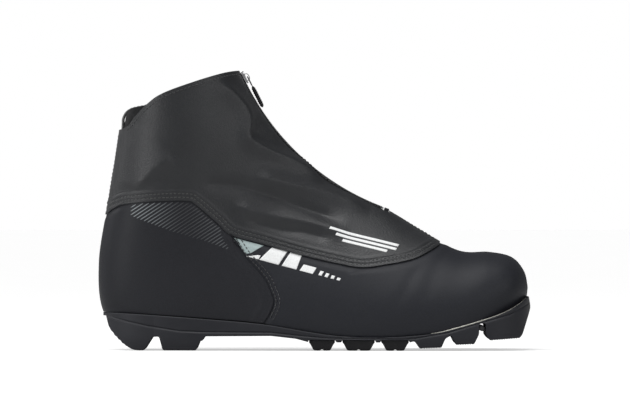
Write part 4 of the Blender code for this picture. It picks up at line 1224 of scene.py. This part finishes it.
decorations = [build_heel_stitches(), tidy_mesh(mesh_object("toe_cream_cord", *build_cream_cord(), CREAM_CORD)),
               mesh_object("heel_stripes", *build_stripes(), STRIPE_INK, smooth=False)]
for name, side in SIDES.items():
    grey, white = build_vamp_print(side)
    decorations.append(mesh_object(f"vamp_print_grey_{name}", *grey, GREY_INK))
    decorations.append(mesh_object(f"vamp_print_white_{name}", *white, WHITE_INK))
for obj in decorations:
    stand_for(obj, "boot")
stitches = {name: build_cover_stitches(name, side) for name, side in SIDES.items()}
edge_stitches = {name: build_edge_stitches(name, side) for name, side in SIDES.items()}
cover_prints = {}
for name, side in SIDES.items():
    cover_prints[name] = mesh_object(f"cover_print_{name}", *build_cover_print(side), WHITE_INK)

# ---------------------------------------------------------------- throat: tongue, eyestays, eyelets, lace

TONGUE_IN, STAY_IN, TAPE_IN = 9.0, 6.9, 1.9  # depths below the hull


def throat_strip(side, y_low, y_high, top, low, inset, columns, rows, offset):
    """Grid over the instep between two arc angles and two distances from the middle plane."""
    span = top_angle(np.array([0.0, 8.0]))
    angle = np.clip([low, top], span[1], span[0])
    s = s_at_angle(np.linspace(angle[1], angle[0], columns))[None]
    y = np.linspace(y_high, y_low, rows)[:, None]
    phi = phi_at_y(y, s, inset)
    s = np.broadcast_to(s, phi.shape)
    return skin(s, phi, side, inset) + normals_at(s, phi, side, inset) * offset(y / y_high, s)[..., None]


def build_tongue(columns=120, rows=16):
    """Padded tongue with quilting lines across it and a bound edge."""
    def quilt(share, s):
        lines = hump((top_angle(s) + 3.5) % 7, 3.5, 0.55) * (1 - ease(0.7, 0.95, share))
        return 0.5 * (1 - share ** 4) - 0.9 * lines - 1.2 * ease(0.86, 1.0, share)

    halves = []
    for side in SIDES.values():
        points = throat_strip(side, 0.0, 21.5, 64.5, 21.0, TONGUE_IN, columns, rows, quilt)
        points[-1, :, 1] = 0
        halves.append(grid_arrays(points, side))
    uv = arc_lengths(points)
    uv = np.concatenate([uv, uv * (1, -1)])
    obj = mesh_object("tongue_pad", *joined(halves), TONGUE_SKIN, "lining", uv)
    return finish_sheet(obj, 2.9, 1.0, merge=0.02)


def build_eyestay(name, side, columns=90, rows=14):
    """Webbing strip that holds a row of eyelets, with a low ridge near its outer edge."""
    def edge(share, s):
        return 0.25 * hump(share, 0.93, 0.05)

    points = throat_strip(side, 10.4, 21.2, 57.5, 25.5, STAY_IN, columns, rows, edge)
    return finish_sheet(grid_sheet(f"eyestay_{name}_strip", points, side, WEBBING, "webbing"), 1.0, 0.25)


def instep_point(angle, y, side, inset):
    """One point of the hull drawn in by inset, at an arc angle and a distance y from the middle plane."""
    s = s_at_angle(np.array([angle], float))
    point, normal = surface(s, phi_at_y(np.array([max(y, 0.02)]), s, inset), side, inset=inset)
    return point[0], normal[0]


def revolve(profile, centre, axis, segments=28):
    """Arrays of a closed (radius, height) profile turned about an axis."""
    turn = np.array(Vector((0, 0, 1)).rotation_difference(Vector(axis)).to_matrix())
    radius, height = np.asarray(profile, float).T
    a = 2 * math.pi * np.arange(segments)[:, None] / segments
    rings = np.stack(np.broadcast_arrays(radius * np.cos(a), radius * np.sin(a), height), -1)
    return loft(rings @ turn.T + np.asarray(centre), closed=True)


def build_eyelets(name, side):
    """Rolled metal eyelets, one in each hole of the eyestay."""
    a = np.linspace(0, 2 * math.pi, 13)[:-1]
    roll = np.stack([2.35 + 0.75 * np.cos(a), 0.35 + 0.42 * np.sin(a)], -1)
    barrel = [(1.6, -1.2), (1.9, -1.2), (1.95, 0.2), (1.6, 0.3)]
    parts = []
    for angle in EYELET_ANGLES:
        place = instep_point(angle, EYELET_Y, side, STAY_IN)
        parts += [revolve(profile, *place) for profile in (roll, barrel)]
    return tidy_mesh(mesh_object(f"eyelets_{name}", *joined(parts), EYELET_METAL, "eyelet_metal"))


def build_lace():
    """Flat lace: a bar across each pair of eyelets, and diagonals that cross under them."""
    runs = []
    upper = np.array([(1.9, 0.22), (1.0, 0.36), (-1.0, 0.36), (-1.9, 0.22)])
    flat_lace = np.concatenate([-upper, upper])

    def ribbon(knots):
        places = [instep_point(angle, abs(y), 1.0 if y > 0 else -1.0, inset) for angle, y, inset in knots]
        path, normals = zip(*places)
        at = np.linspace(0, len(path) - 1, (len(path) - 1) * 5 + 1)
        runs.append(sweep(catmull(path, at), catmull(normals, at), flat_lace))

    for angle in EYELET_ANGLES:
        ribbon([(angle, y, 6.1 if abs(y) < 13 else 5.6 + 0.6 * (abs(y) - 13))
                for y in (-15.4, -13, -9, -4, 4, 9, 13, 15.4)])
    for low, high in zip(EYELET_ANGLES, EYELET_ANGLES[1:]):
        for sign in (1, -1):
            share = np.array([0.0, 0.12, 0.3, 0.7, 0.88, 1.0])
            depth = np.array([7.6, 8.0, 8.0, 8.0, 8.0, 7.6]) - 0.35 * sign
            ribbon([(low + (high - low) * t, sign * (14.5 - 29 * t), d) for t, d in zip(share, depth)])
    points, faces = joined(runs)
    return tidy_mesh(mesh_object("lace_flat", points, faces, LACE_WEAVE, "lace", points[:, [1, 0]]))


tongue_pad = build_tongue()
stand_for(tongue_pad, "boot", "tongue")
ORDER = range(1, len(EYELET_ANGLES) + 1)
for name, side in SIDES.items():
    stand_for(build_eyestay(name, side), "boot", f"eyestay_{name}")
    stand_for(build_eyelets(name, side), "boot", *[f"eyelet_{name}_{k}" for k in ORDER])
stand_for(build_lace(), "boot", *[f"lace_bar_{k}" for k in ORDER])

# ---------------------------------------------------------------- zip

TOOTH_PITCH = 2.05
# Sections of a tooth from foot to head: y, half size along the zip and out of it, and height of the middle.
TOOTH_ROWS = [
    (3.1, 0.42, 0.85, -0.55), (2.5, 0.62, 1.05, -0.5), (1.2, 0.44, 0.80, -0.45), (0.3, 0.56, 0.9, -0.45),
    (-0.45, 0.60, 0.85, -0.45), (-0.8, 0.36, 0.5, -0.45),
]


def build_tape(name, side, columns=150, rows=14):
    """One side of the zip's tape, with the beaded cord along its inner edge."""
    def bead(share, s):
        return 1.15 * hump(share * 11.5, 1.5, 1.1)

    points = throat_strip(side, 0.9, 11.5, BAND_TOP, BAND_LOW + 0.2, TAPE_IN, columns, rows, bead)
    return finish_sheet(grid_sheet(f"zip_tape_{name}_cloth", points, side, TAPE_CLOTH, "zip_tape"), 0.5, 0.12)


def arc_frame(angle):
    """Middle of the zip at an angle, and the directions down along it, across and out of it."""
    t = math.radians(angle)
    down = np.array([math.cos(t), 0, -math.sin(t)])
    out = np.array([math.sin(t), 0, math.cos(t)])
    x, z = arc_point(angle)
    return np.array([x, 0, z]), down, np.cross(out, down), out


def tooth(angle, side):
    """One moulded tooth: a foot on the tape, a waist, and a rounded head past the middle."""
    origin, down, across, out = arc_frame(angle)
    corner = circle(1.0, 8)
    corner = np.sign(corner) * np.abs(corner) ** 0.7
    rings = []
    for y, half, height, centre in TOOTH_ROWS:
        ring = corner * (half, height) + (0, centre)
        rings.append(origin + side * y * np.array([0, 1, 0]) + ring[:, :1] * down + ring[:, 1:] * out)
    return loft(rings)


def build_teeth(name, side):
    step = math.degrees(TOOTH_PITCH / ZIP_R)
    first = ZIP_END + 0.5 + (step / 2 if side > 0 else 0)
    row = joined([tooth(angle, side) for angle in np.arange(first, ZIP_TOP - 0.1, step)])
    return tidy_mesh(mesh_object(f"zip_teeth_{name}_row", *row, TEETH_PLASTIC, "zip_teeth"), 50)


def local_points(origin, axes, values):
    """Points from (down, across, out) numbers in a zip frame."""
    return origin + np.asarray(values, float) @ np.stack(axes)


def extruded(outline, low, high, origin, axes):
    """Arrays of a plan outline of (down, across) pushed from one height to another."""
    return loft([local_points(origin, axes, [(a, b, z) for a, b in outline]) for z in (high, low)])


def corner_arc(before, corner, after, radius, most, steps):
    """Points that round a corner; the arc takes up at most a share of either edge."""
    a, b = before - corner, after - corner
    la, lb = np.linalg.norm(a), np.linalg.norm(b)
    reach = min(radius, most * la, most * lb)
    p, q = corner + a / la * reach, corner + b / lb * reach
    return [(1 - t) ** 2 * p + 2 * t * (1 - t) * corner + t * t * q for t in np.linspace(0, 1, steps + 1)]


def rounded(outline, radius, steps=4):
    """A closed outline with its corners cut to arcs."""
    outline = np.asarray(outline, float)
    corners = zip(np.roll(outline, 1, 0), outline, np.roll(outline, -1, 0))
    return np.concatenate([corner_arc(*three, radius, 0.45, steps) for three in corners])


def symmetric(half):
    """A closed plan outline from its half at negative across, front to back."""
    return half + [(a, -b) for a, b in half[::-1]]


def build_slider():
    """Slider: top plate with side flanges, floor, post, and the bail that the pull hangs from."""
    origin, *axes = arc_frame(SLIDER_AT)
    plan = rounded(symmetric([(-4.5, -2.4), (-3.0, -4.3), (0.5, -4.0), (3.4, -2.7), (4.5, -2.2)]), 0.9)
    parts = [extruded(plan, 0.85, 1.85, origin, axes)]
    for sign in (1, -1):
        flange = rounded([(-3.3, sign * 4.25), (0.4, sign * 3.95), (3.6, sign * 2.6), (3.3, sign * 2.05),
                          (0.3, sign * 3.35), (-3.3, sign * 3.6)], 0.25)
        parts.append(extruded(flange[::sign], -0.2, 1.0, origin, axes))
    base = rounded(symmetric([(-4.2, -2.2), (-2.6, -3.4), (2.6, -2.6), (3.5, -1.8)]), 0.7)
    parts.append(extruded(base, -4.0, -3.35, origin, axes))
    post = rounded([(-4.3, -0.4), (-3.5, -0.4), (-3.5, 0.4), (-4.3, 0.4)], 0.12)
    parts.append(extruded(post, -3.7, 1.2, origin, axes))
    body = mesh_object("slider_body", *joined(parts), ZIP_METAL, "zip_metal")
    body = bevelled(tidy_mesh(body), 0.16)
    t = np.linspace(0, math.pi, 15)
    path = np.stack([0.4 - 2.55 * np.cos(t), 0 * t, 1.7 + 2.35 * np.sin(t) ** 0.55], -1)
    strap = rounded([(-0.8, -0.26), (0.8, -0.26), (0.8, 0.26), (-0.8, 0.26)], 0.14)
    normals = unit(local_points(np.zeros(3), axes, np.stack([-np.cos(t), 0 * t, np.sin(t) + 0.15], -1)))
    bail = sweep(local_points(origin, axes, path), normals, strap)
    return body, tidy_mesh(mesh_object("slider_bail", *bail, ZIP_METAL, "zip_metal"))


def pull_frame():
    """Pivot of the pull, and the directions along it, across and out of it as it hangs closed."""
    origin, *axes = arc_frame(SLIDER_AT)
    pivot = local_points(origin, axes, (PIVOT[0], 0, PIVOT[1]))
    turn = np.array(Matrix.Rotation(math.radians(-PULL_LIFT), 3, "Y"))
    return pivot, [turn @ axis for axis in axes]


def build_pull():
    """Wire link, and a ribbed rubber grip moulded round a steel blade."""
    pivot, axes = pull_frame()
    link = rounded([(0, -2.9), (6.0, -2.7), (6.0, 2.7), (0, 2.9)], 1.1, 6)
    path = local_points(pivot, axes, [(a, b, 0) for a, b in link])
    wire = sweep(path, np.broadcast_to(axes[2], path.shape), circle(0.5, 12), closed=True)
    wire = tidy_mesh(mesh_object("pull_wire", *wire, WIRE_METAL, "zip_metal"))
    plan = rounded(symmetric([(4.9, -1.5), (7.4, -2.25), (23.2, -2.1), (23.9, -1.2)]), 0.8)
    blade = ring_plate(plan, circle(0.72, 16) + (6.0, 0), -0.34, 0.34, pivot, axes)
    blade = bevelled(tidy_mesh(mesh_object("pull_blade", *blade, DARK_METAL, "zip_metal")), 0.1)
    at = np.concatenate([[7.6, 7.8, 8.2], np.linspace(8.8, 22.6, 70), [23.1, 23.45, 23.6]])
    ribs = 0.17 * np.sin((at - 9.0) / 1.55 * 2 * math.pi) * ease(8.8, 9.8, at) * (1 - ease(21.4, 22.4, at))
    swell = np.sqrt(np.clip(1 - np.abs((at - 15.6) / 8.1) ** 7, 0.03, 1))
    square = circle(1.0, 20)
    square = np.sign(square) * np.abs(square) ** 0.55
    profile = square[None] * np.stack([1.92 * swell + 0.3 * ribs, (1.38 + ribs) * swell], -1)[:, None]
    path = local_points(pivot, axes, [(a, 0, 0) for a in at])
    grip = sweep(path, np.broadcast_to(axes[2], path.shape), profile)
    return wire, blade, tidy_mesh(mesh_object("pull_grip", *grip, GRIP_RUBBER, "pull_rubber"), 60)


def ring_plate(outer, hole, low, high, origin, axes):
    """Arrays of a flat plate with a hole in it, from two loops of points."""
    centre = hole.mean(0)
    bearings = np.linspace(0, 2 * math.pi, 48, endpoint=False)

    def at_bearings(outline):
        rel = outline - centre
        angles = np.unwrap(np.arctan2(rel[:, 1], rel[:, 0]))
        if angles[-1] < angles[0]:
            rel, angles = rel[::-1], angles[::-1]
        angles = np.append(angles, angles[0] + 2 * math.pi)
        rel = np.concatenate([rel, rel[:1]])
        shifted = (bearings - angles[0]) % (2 * math.pi) + angles[0]
        return centre + np.stack([np.interp(shifted, angles, values) for values in rel.T], -1)

    outside, inside = at_bearings(outer), at_bearings(hole)
    rings = [(outside, high), (inside, high), (inside, low), (outside, low)]
    return loft([local_points(origin, axes, [(a, b, z) for a, b in ring]) for ring, z in rings], closed=True)


def build_bottom_stop():
    """Clinched metal stop across the foot of the zip."""
    origin, *axes = arc_frame(ZIP_END - 0.9)
    plan = rounded([(-1.7, -3.0), (1.7, -3.0), (1.7, 3.0), (-1.7, 3.0)], 0.5)
    obj = mesh_object("bottom_stop", *extruded(plan, -2.2, 0.4, origin, axes), DARK_METAL, "zip_metal")
    return bevelled(tidy_mesh(obj), 0.22, 3)


tapes = {name: build_tape(name, side) for name, side in SIDES.items()}
teeth = {name: build_teeth(name, side) for name, side in SIDES.items()}
for name in SIDES:
    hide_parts(f"zip_tape_{name}")
    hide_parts(f"zip_teeth_{name}")
slider_body, slider_bail = build_slider()
pull_wire, pull_blade, pull_grip = build_pull()
stand_for(slider_body, "zip_slider", "zip_slider")
stand_for(slider_bail, "zip_slider")
stand_for(pull_wire, "zip_pull", "zip_pull_link")
stand_for(pull_grip, "zip_pull", "zip_pull_grip")
stand_for(pull_blade, "zip_pull")
stand_for(build_bottom_stop(), "boot", "zip_bottom_stop")

# ---------------------------------------------------------------- heel loop and footbed

LOOP_HALF, LOOP_BOW, LOOP_THICK = 8.2, 1.1, 1.0
LOOP_BEND = [
    (-134.6, 157.4), (-134.2, 162), (-132, 166), (-129, 168.2), (-125, 169.4), (-120, 170.3),
    (-116, 171.2), (-113.6, 169.6), (-113.4, 165), (-116.2, 158.5), (-121.6, 151.6),
    (-127.4, 146.2), (-130.6, 141.5),
]
BOARD_THICK, FOOTBED_THICK = 2.0, 4.0


def build_heel_loop(across=15):
    """Woven pull loop over the back of the collar, with a thicker selvedge along both edges."""
    z = np.array([143.0, 148.0, 153.0])
    s = solve_s(lambda s: ends(s, 2.45)[1][1] - z, 0, 5, z.shape)
    route = np.concatenate([np.stack([ends(s, 2.45)[1][0], z], -1), LOOP_BEND])
    path = catmull(route, np.linspace(0, len(route) - 1, 130))
    tangent = unit(np.gradient(path, axis=0))
    normal = tangent[:, ::-1] * (-1, 1)
    share = np.linspace(-1, 1, across)
    wide = np.abs(share)
    half_thick = LOOP_THICK / 2 * (0.82 + 0.18 * ease(0.72, 0.86, wide) - 0.35 * ease(0.93, 1.0, wide))
    run = run_length(path)
    rib = 0.035 * np.sin(run * 2 * math.pi / 1.15)

    def face(sign):
        lift = sign * (half_thick[None] + rib[:, None])
        x = path[:, :1] + LOOP_BOW * share ** 2 + normal[:, :1] * lift
        z = path[:, 1:] + normal[:, 1:] * lift
        return np.stack([x, np.broadcast_to(LOOP_HALF * share, x.shape), z], -1)

    uv = np.stack(np.broadcast_arrays(run[:, None], LOOP_HALF * share[None]), -1).reshape(-1, 2)
    obj = mesh_object("heel_loop_webbing", *slab(face(1), face(-1)), WEBBING, "webbing", np.tile(uv, (2, 1)))
    at = np.interp(np.arange(12, run[-1] - 12, 2.6), run, np.arange(len(path)))
    pick = np.round(at).astype(int)
    tangent, out = (np.insert(side_view, 1, 0, axis=1)[pick] for side_view in (tangent, normal))
    runs = []
    for y in (-6.3, 6.3):
        centre = np.insert(path + (LOOP_BOW * abs(y) / LOOP_HALF, 0), 1, y, axis=1)[pick]
        runs.append(stitch_run(centre + out * LOOP_THICK * 0.42, tangent, out, 0.26))
    return tidy_mesh(obj, 50), stitched("heel_loop_stitches", runs, DARK_THREAD)


def build_footbed(columns=110, rows=25):
    """Moulded insole: felt top, cupped round the heel and along its edges."""
    x = np.clip(np.linspace(-137, 137.5, columns), -136.6, 137.0)
    low = line_z(FEATHER_LINE, x) + BOARD_THICK + 0.8
    right, left = (np.maximum(half_breadth(x, low, side, 6.3) - 2.0, 1.0)[:, None] for side in (-1, 1))
    x, low = x[:, None], low[:, None]
    share = np.linspace(-1, 1, rows)[None]
    y = np.where(share < 0, right, left) * share
    rise = share ** 4
    cup = 2.6 * rise * (1 - ease(-60, 60, x)) + 0.8 * rise
    top = low + FOOTBED_THICK + cup - 1.5 * ease(0.93, 1.0, np.abs(share))
    grids = [np.stack(np.broadcast_arrays(x, y, z), -1) for z in (top, low + 0.4 * rise)]
    return tidy_mesh(mesh_object("footbed_felt", *slab(*grids), FOAM, "footbed_foam"))


heel_loop, loop_stitches = build_heel_loop()
stand_for(heel_loop, "boot", "heel_loop")
stand_for(loop_stitches, "boot")
stand_for(build_footbed(), "boot", "footbed")

# ---------------------------------------------------------------- sole

HEEL_TREAD = [
    (-145.6, 24), (-143.4, 15.5), (-139, 10), (-132.7, 3.8), (-126.4, 0.4), (-123, 0), (-118.5, 0),
    (-115.8, 4.2), (-112.6, 9.4), (-108.2, 9.6), (-105.6, 0), (-82.3, 0), (-79.6, 6.6), (-77.6, 6.8),
    (-76.2, 9.8),
]
ARCH = [(-30, 10.1), (-13, 8.2), (-5.5, 6.2)]
TOE_TREAD = [
    (66.5, 5.9), (69.5, 6.6), (73, 1.4), (88, 1.9), (90.8, 8.4), (94.8, 10.6), (98.2, 3.9),
    (110.8, 4.4), (114.2, 11.2), (114.6, 18.8), (118.8, 18.8), (119.2, 10), (122, 7), (142.6, 8.4),
    (144.8, 11), (147.8, 20), (149.4, 24.8), (151, 29.6),
]
TOE_LIP = np.array([(-200, 90), (149.4, 38.2), (151, 30.6)])
INSERTS = [(-3.8, 14.2), (19.5, 41.8), (46.6, 65.4)]
INSERT_TOP, BALL_BASE = 7.2, 5.7
SOLE_HEEL_X, SOLE_TOE_X = -147.8, 151.0
GROOVE_INNER, GROOVE_OUTER = 9.5, 18.5
CHANNELS = [[(-106, 9.6), (-80, 9.6)], [(-12, 6.6), (62, 6.6), (80, 8.4), (100, 12.4), (130, 12.6)]]
SLOT_X, SLOT_HALF, SLOT_TOP = (135.3, 143.7), 19.0, 18.0
BARS = {"toe_bar_front": (139.5, 14.6), "toe_bar_rear": (116.7, 15.2)}
BAR_R, BAR_HALF_LENGTH = 2.0, 23.0
SERRATED = [(73.6, 87.4), (98.8, 110.2), (122.6, 142.0)]
WELT_LINE = np.array([
    (-150, 24.5), (-142, 23.4), (-130, 20.2), (-115, 17), (-94, 13.7), (-78, 13), (-66, 12.9), (-30, 12.6),
    (-10, 10.4), (10, 8.6), (60, 8.0), (70, 8.6), (92, 12.4), (116, 19.4), (136, 25.2), (148, 32), (152, 35),
])


def sole_half(x, side):
    """Half breadth of the sole's rim: the upper at the feather line and a small welt."""
    heel_from, toe_from = -112.0, 116.0

    def at_feather(px):
        return half_breadth(px, line_z(FEATHER_LINE, px) + 1, side) + 1.2

    middle = at_feather(np.clip(x, heel_from, toe_from))
    heel = np.clip((heel_from - x) / (heel_from - SOLE_HEEL_X), 0, 1)
    toe = np.clip((x - toe_from) / (SOLE_TOE_X - toe_from), 0, 1)
    return middle * (1 - heel ** 2.2) ** 0.5 * (1 - toe ** 2.4) ** (1 / 2.4)


def rounded_open(line, radius):
    """An open outline with its corners cut to arcs."""
    line = np.asarray(line, float)
    corners = zip(line[:-2], line[1:-1], line[2:])
    return np.concatenate([line[:1], *(corner_arc(*three, radius, 0.48, 5) for three in corners), line[-1:]])


def underside():
    """The sole's lower outline in side view, heel to toe, with a notch for each tread block."""
    ball = []
    for low_x, high_x in INSERTS:
        ball += [(low_x - 0.8, BALL_BASE), (low_x - 0.4, INSERT_TOP), (high_x + 0.4, INSERT_TOP),
                 (high_x + 0.8, BALL_BASE)]
    return rounded_open(HEEL_TREAD + ARCH + ball + TOE_TREAD, 1.3)


def serration(x):
    """Fine saw teeth across the bottoms of the front lugs and up the heel's strike edge."""
    lift = np.zeros(x.shape)
    for start, stop in SERRATED:
        inside = ease(start, start + 0.3, x) * (1 - ease(stop - 0.3, stop, x))
        lift += 0.45 * inside * np.abs(((x - start) / 1.7) % 1 * 2 - 1)
    strike = ease(-144.5, -143.5, x) * (1 - ease(-131, -130, x))
    return lift + 0.7 * strike * np.abs((x / 2.6) % 1 * 2 - 1)


def wall_inset(z, top, low, welt):
    """How far the sole's side wall stands in from its rim at height z."""
    def round_off(share):
        return 0.9 * (1 - np.sqrt(1 - (1 - share) ** 2))

    edge = round_off(np.clip((top - z) / 0.9, 0, 1)) + round_off(np.clip((z - low) / 1.0, 0, 1))
    bulge = -0.35 * ease(0.4, 1.4, welt - z) * ease(0.0, 6.0, z)
    taper = 2.3 * (1 - np.clip(z / 10, 0, 1)) ** 1.6
    return edge + 0.6 * hump(z, welt, 0.42) + bulge + taper


def mirrored(half):
    """Points (y, z) across the sole from those of its left half, outermost first."""
    return [(-y, z) for y, z in half] + half[::-1]


def section_ring(x, top, low, welt, right, left, floors):
    """One closed section of the sole: right wall down, underside across, left wall up."""
    levels = np.concatenate([top - np.array([0, 0.12, 0.35, 0.7, 1.1]), np.linspace(top - 1.6, welt + 1.2, 4),
                             welt + np.array([0.8, 0.45, 0.2, 0, -0.2, -0.45, -0.8, -1.4]),
                             np.linspace(welt - 2.4, low + 1.6, 6), low + np.array([1.0, 0.6, 0.3, 0.1, 0])])
    levels = np.maximum.accumulate(np.clip(levels, low, top)[::-1])[::-1]
    inset = wall_inset(levels, top, low, welt)
    right, left = (np.stack([np.full(len(levels), x), side * np.maximum(half - inset, 0.25), levels], -1)
                   for side, half in ((-1, right), (1, left)))
    under = [(x, np.clip(y, right[-1, 1], left[-1, 1]), min(z, top - 0.8)) for y, z in floors(x, low)]
    return np.concatenate([right, under, left[::-1]])


def sole_floors(x, low):
    """Points across the underside: the two guide channels and the binding slot are cut up into it."""
    slot = max(low, SLOT_TOP) if SLOT_X[0] < x < SLOT_X[1] else low
    channel = slot
    for line in CHANNELS:
        if line[0][0] <= x <= line[-1][0]:
            channel = max(slot, float(np.interp(x, *np.array(line).T)))
    return mirrored([(SLOT_HALF + 0.3, low), (SLOT_HALF, slot), (GROOVE_OUTER, slot),
                     (GROOVE_OUTER - 0.25, channel), (GROOVE_INNER + 0.25, channel), (GROOVE_INNER, slot),
                     (0.6, slot)])


def build_outsole():
    """The one-piece sole, lofted through its sections from heel to toe."""
    line = underside()
    first, last = SOLE_HEEL_X + 0.02, SOLE_TOE_X - 0.02
    ends_x = np.append(first + 9 * np.linspace(0, 1, 16) ** 2, last - 14 * np.linspace(0, 1, 22) ** 2)
    saw = [np.arange(a, b, 0.425) for a, b in SERRATED] + [np.arange(-144.6, -130, 0.65)]
    jumps = [channel[k][0] for channel in CHANNELS for k in (0, -1)] + list(SLOT_X)
    beside = [x + gap for x in jumps for gap in (-0.02, 0.02)]
    xs = np.unique(np.round(np.concatenate([line[:, 0], ends_x, *saw, beside, np.arange(-147, 150, 1.5)]), 3))
    xs = xs[(xs >= first) & (xs <= last)]
    top = np.minimum(line_z(FEATHER_LINE, xs) - 0.3, np.interp(xs, *TOE_LIP.T))
    low = np.minimum(np.interp(xs, *line.T) + serration(xs), top - 1.0)
    welt = np.interp(xs, *WELT_LINE.T)
    sections = zip(xs, top, low, welt, sole_half(xs, -1), sole_half(xs, 1))
    rings = [section_ring(*section, sole_floors) for section in sections]
    return tidy_mesh(mesh_object("outsole_moulding", *loft(rings), SOLE_RUBBER, "sole_rubber"), 38, 2e-3)


def build_tread_block(name, low_x, high_x):
    """Black rubber block under the ball: three pads with rounded shoulders and a cross groove."""
    lean = 3.2
    half = (high_x - low_x) / 2
    rear = [(0, INSERT_TOP - 0.5), (0.1, 5.2), (0.6, 5.0), (lean, 0.2), (lean + 1.5, 0.0), (half - 1.2, 0.0),
            (half - 0.5, 0.9)]
    outline = [(low_x + x, z) for x, z in rear] + [(high_x - x, z) for x, z in rear[::-1]]
    outline = rounded_open(outline, 0.9)
    outline = outline[np.append(True, np.diff(outline[:, 0]) > 1e-4)]

    def floors(x, low):
        up = max(low, 5.6)
        step = min(low + 0.4, up)
        return mirrored([(GROOVE_OUTER + 0.4, low), (GROOVE_OUTER, step), (GROOVE_OUTER - 0.3, up),
                         (GROOVE_INNER + 0.3, up), (GROOVE_INNER, step), (GROOVE_INNER - 0.4, low),
                         (0.6, low)])

    sections = zip(*outline.T, *(sole_half(outline[:, 0], side) - 1.5 for side in (-1, 1)))
    rings = [section_ring(x, INSERT_TOP - 0.3, z, 40.0, *reach, floors) for x, z, *reach in sections]
    return tidy_mesh(mesh_object(name, *loft(rings), TREAD_RUBBER, "tread_rubber"), 38, 2e-3)


def build_bar(name, x, z):
    """Steel binding bar with chamfered ends."""
    end = [(BAR_R, BAR_HALF_LENGTH - 0.4), (BAR_R - 0.4, BAR_HALF_LENGTH), (0.01, BAR_HALF_LENGTH)]
    bar = revolve([(r, -h) for r, h in end[::-1]] + end, (x, 0, z), (0, 1, 0), 32)
    return tidy_mesh(mesh_object(f"{name}_steel", *bar, BAR_STEEL, "bar_steel"))


stand_for(build_outsole(), "boot", "outsole")
for k, (low_x, high_x) in enumerate(INSERTS, 1):
    stand_for(build_tread_block(f"tread_block_{k}", low_x, high_x), "boot", f"ball_tread_{k}")
for name, (x, z) in BARS.items():
    stand_for(build_bar(name, x, z), "boot", name)
CAD_LOOKS = {"heel_counter": STIFFENER, "toe_puff": STIFFENER, "lasting_board": BOARD, "shank": SHANK_STEEL}
for name, look in CAD_LOOKS.items():
    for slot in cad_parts[name].material_slots:
        slot.material = look

# ---------------------------------------------------------------- cover pieces baked in place

for pieces in (covers, stitches, edge_stitches, cover_prints, tapes, teeth):
    for name, obj in pieces.items():
        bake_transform(obj)

# ---------------------------------------------------------------- camera, light and floor

# Metres, but for the floor's half size, which is in millimetres as every mesh is.
VIEW_DISTANCE = 5.0
VIEW_WIDTH = 0.441
VIEW_CENTRE = (0.00035, 0.09765)
AMBIENT = 0.14
SUN_STRENGTH = 2.2
FLOOR_GLOW = 0.52
FLOOR_HALF = 30000
# Place, height aimed at, size and power of each area light.
AREA_LIGHTS = {
    "key": ((-0.3, -1.2, 1.6), 0.10, (0.7, 0.4), 6),
    "strip": ((1.2, -2.0, 0.9), 0.12, (0.4, 1.4), 5),
    "side": ((-2.0, -1.4, 0.7), 0.12, (0.5, 1.4), 18),
    "rim": ((-1.6, 0.6, 0.9), 0.08, (0.8, 0.8), 6),
    "fill": ((1.5, -0.9, 0.7), 0.08, (0.8, 0.8), 4),
}


def area_light(name, place, aim_z, size, power):
    light = bpy.data.lights.new(name, "AREA")
    light.shape = "RECTANGLE"
    light.size, light.size_y = size
    light.energy = power
    obj = placed(name, light)
    obj.location = place
    obj.rotation_euler = (Vector((0, 0, aim_z)) - Vector(place)).to_track_quat("-Z", "Y").to_euler()


def build_floor():
    """Pale floor that glows a little for the camera only, so that it meets the white backdrop."""
    look = Look("studio_floor", (0.62, 0.62, 0.62), 0.6, Specular_IOR_Level=0.1, Emission_Color=(1, 1, 1, 1))
    look.roughness(look.noise(6.0), 0.55, 0.65)
    glow = look.maths("MULTIPLY", look.add("LightPath").outputs["Is Camera Ray"], FLOOR_GLOW)
    look.feed(look.shader.inputs["Emission Strength"], glow)
    corners = [(-FLOOR_HALF, -FLOOR_HALF, 0), (FLOOR_HALF, -FLOOR_HALF, 0), (FLOOR_HALF, FLOOR_HALF, 0),
               (-FLOOR_HALF, FLOOR_HALF, 0)]
    floor = mesh_object("floor", corners, [(0, 1, 2, 3)], look.material, smooth=False)
    floor.location.z = -0.0002


def build_world():
    """White for the camera, and a dim white as ambient light."""
    world = bpy.data.worlds.new("studio")
    world.use_nodes = True
    tree = world.node_tree
    ambient, backdrop = tree.nodes["Background"], tree.nodes.new("ShaderNodeBackground")
    ambient.inputs[1].default_value = AMBIENT
    for node in (ambient, backdrop):
        node.inputs[0].default_value = (1, 1, 1, 1)
    rays, either = tree.nodes.new("ShaderNodeLightPath"), tree.nodes.new("ShaderNodeMixShader")
    sources = (rays.outputs["Is Camera Ray"], ambient.outputs[0], backdrop.outputs[0])
    for source, socket in zip(sources, either.inputs):
        tree.links.new(source, socket)
    tree.links.new(either.outputs[0], tree.nodes["World Output"].inputs[0])
    bpy.context.scene.world = world


def build_sun():
    sun = bpy.data.lights.new("overhead", "SUN")
    sun.energy = SUN_STRENGTH
    sun.angle = math.radians(50)
    lamp = placed("overhead", sun)
    lamp.rotation_euler = (math.radians(14), math.radians(-12), 0)


def build_camera():
    lens = bpy.data.cameras.new("camera")
    lens.sensor_fit = "HORIZONTAL"
    lens.angle = 2 * math.atan(VIEW_WIDTH / 2 / VIEW_DISTANCE)
    lens.clip_start, lens.clip_end = 0.05, 100
    camera = placed("camera", lens)
    camera.location = (VIEW_CENTRE[0], -VIEW_DISTANCE, VIEW_CENTRE[1])
    camera.rotation_euler = (math.radians(90), 0, 0)
    bpy.context.scene.camera = camera


build_floor()
build_world()
build_sun()
for name, settings in AREA_LIGHTS.items():
    area_light(name, *settings)
build_camera()
bpy.context.scene.view_settings.view_transform = "Standard"
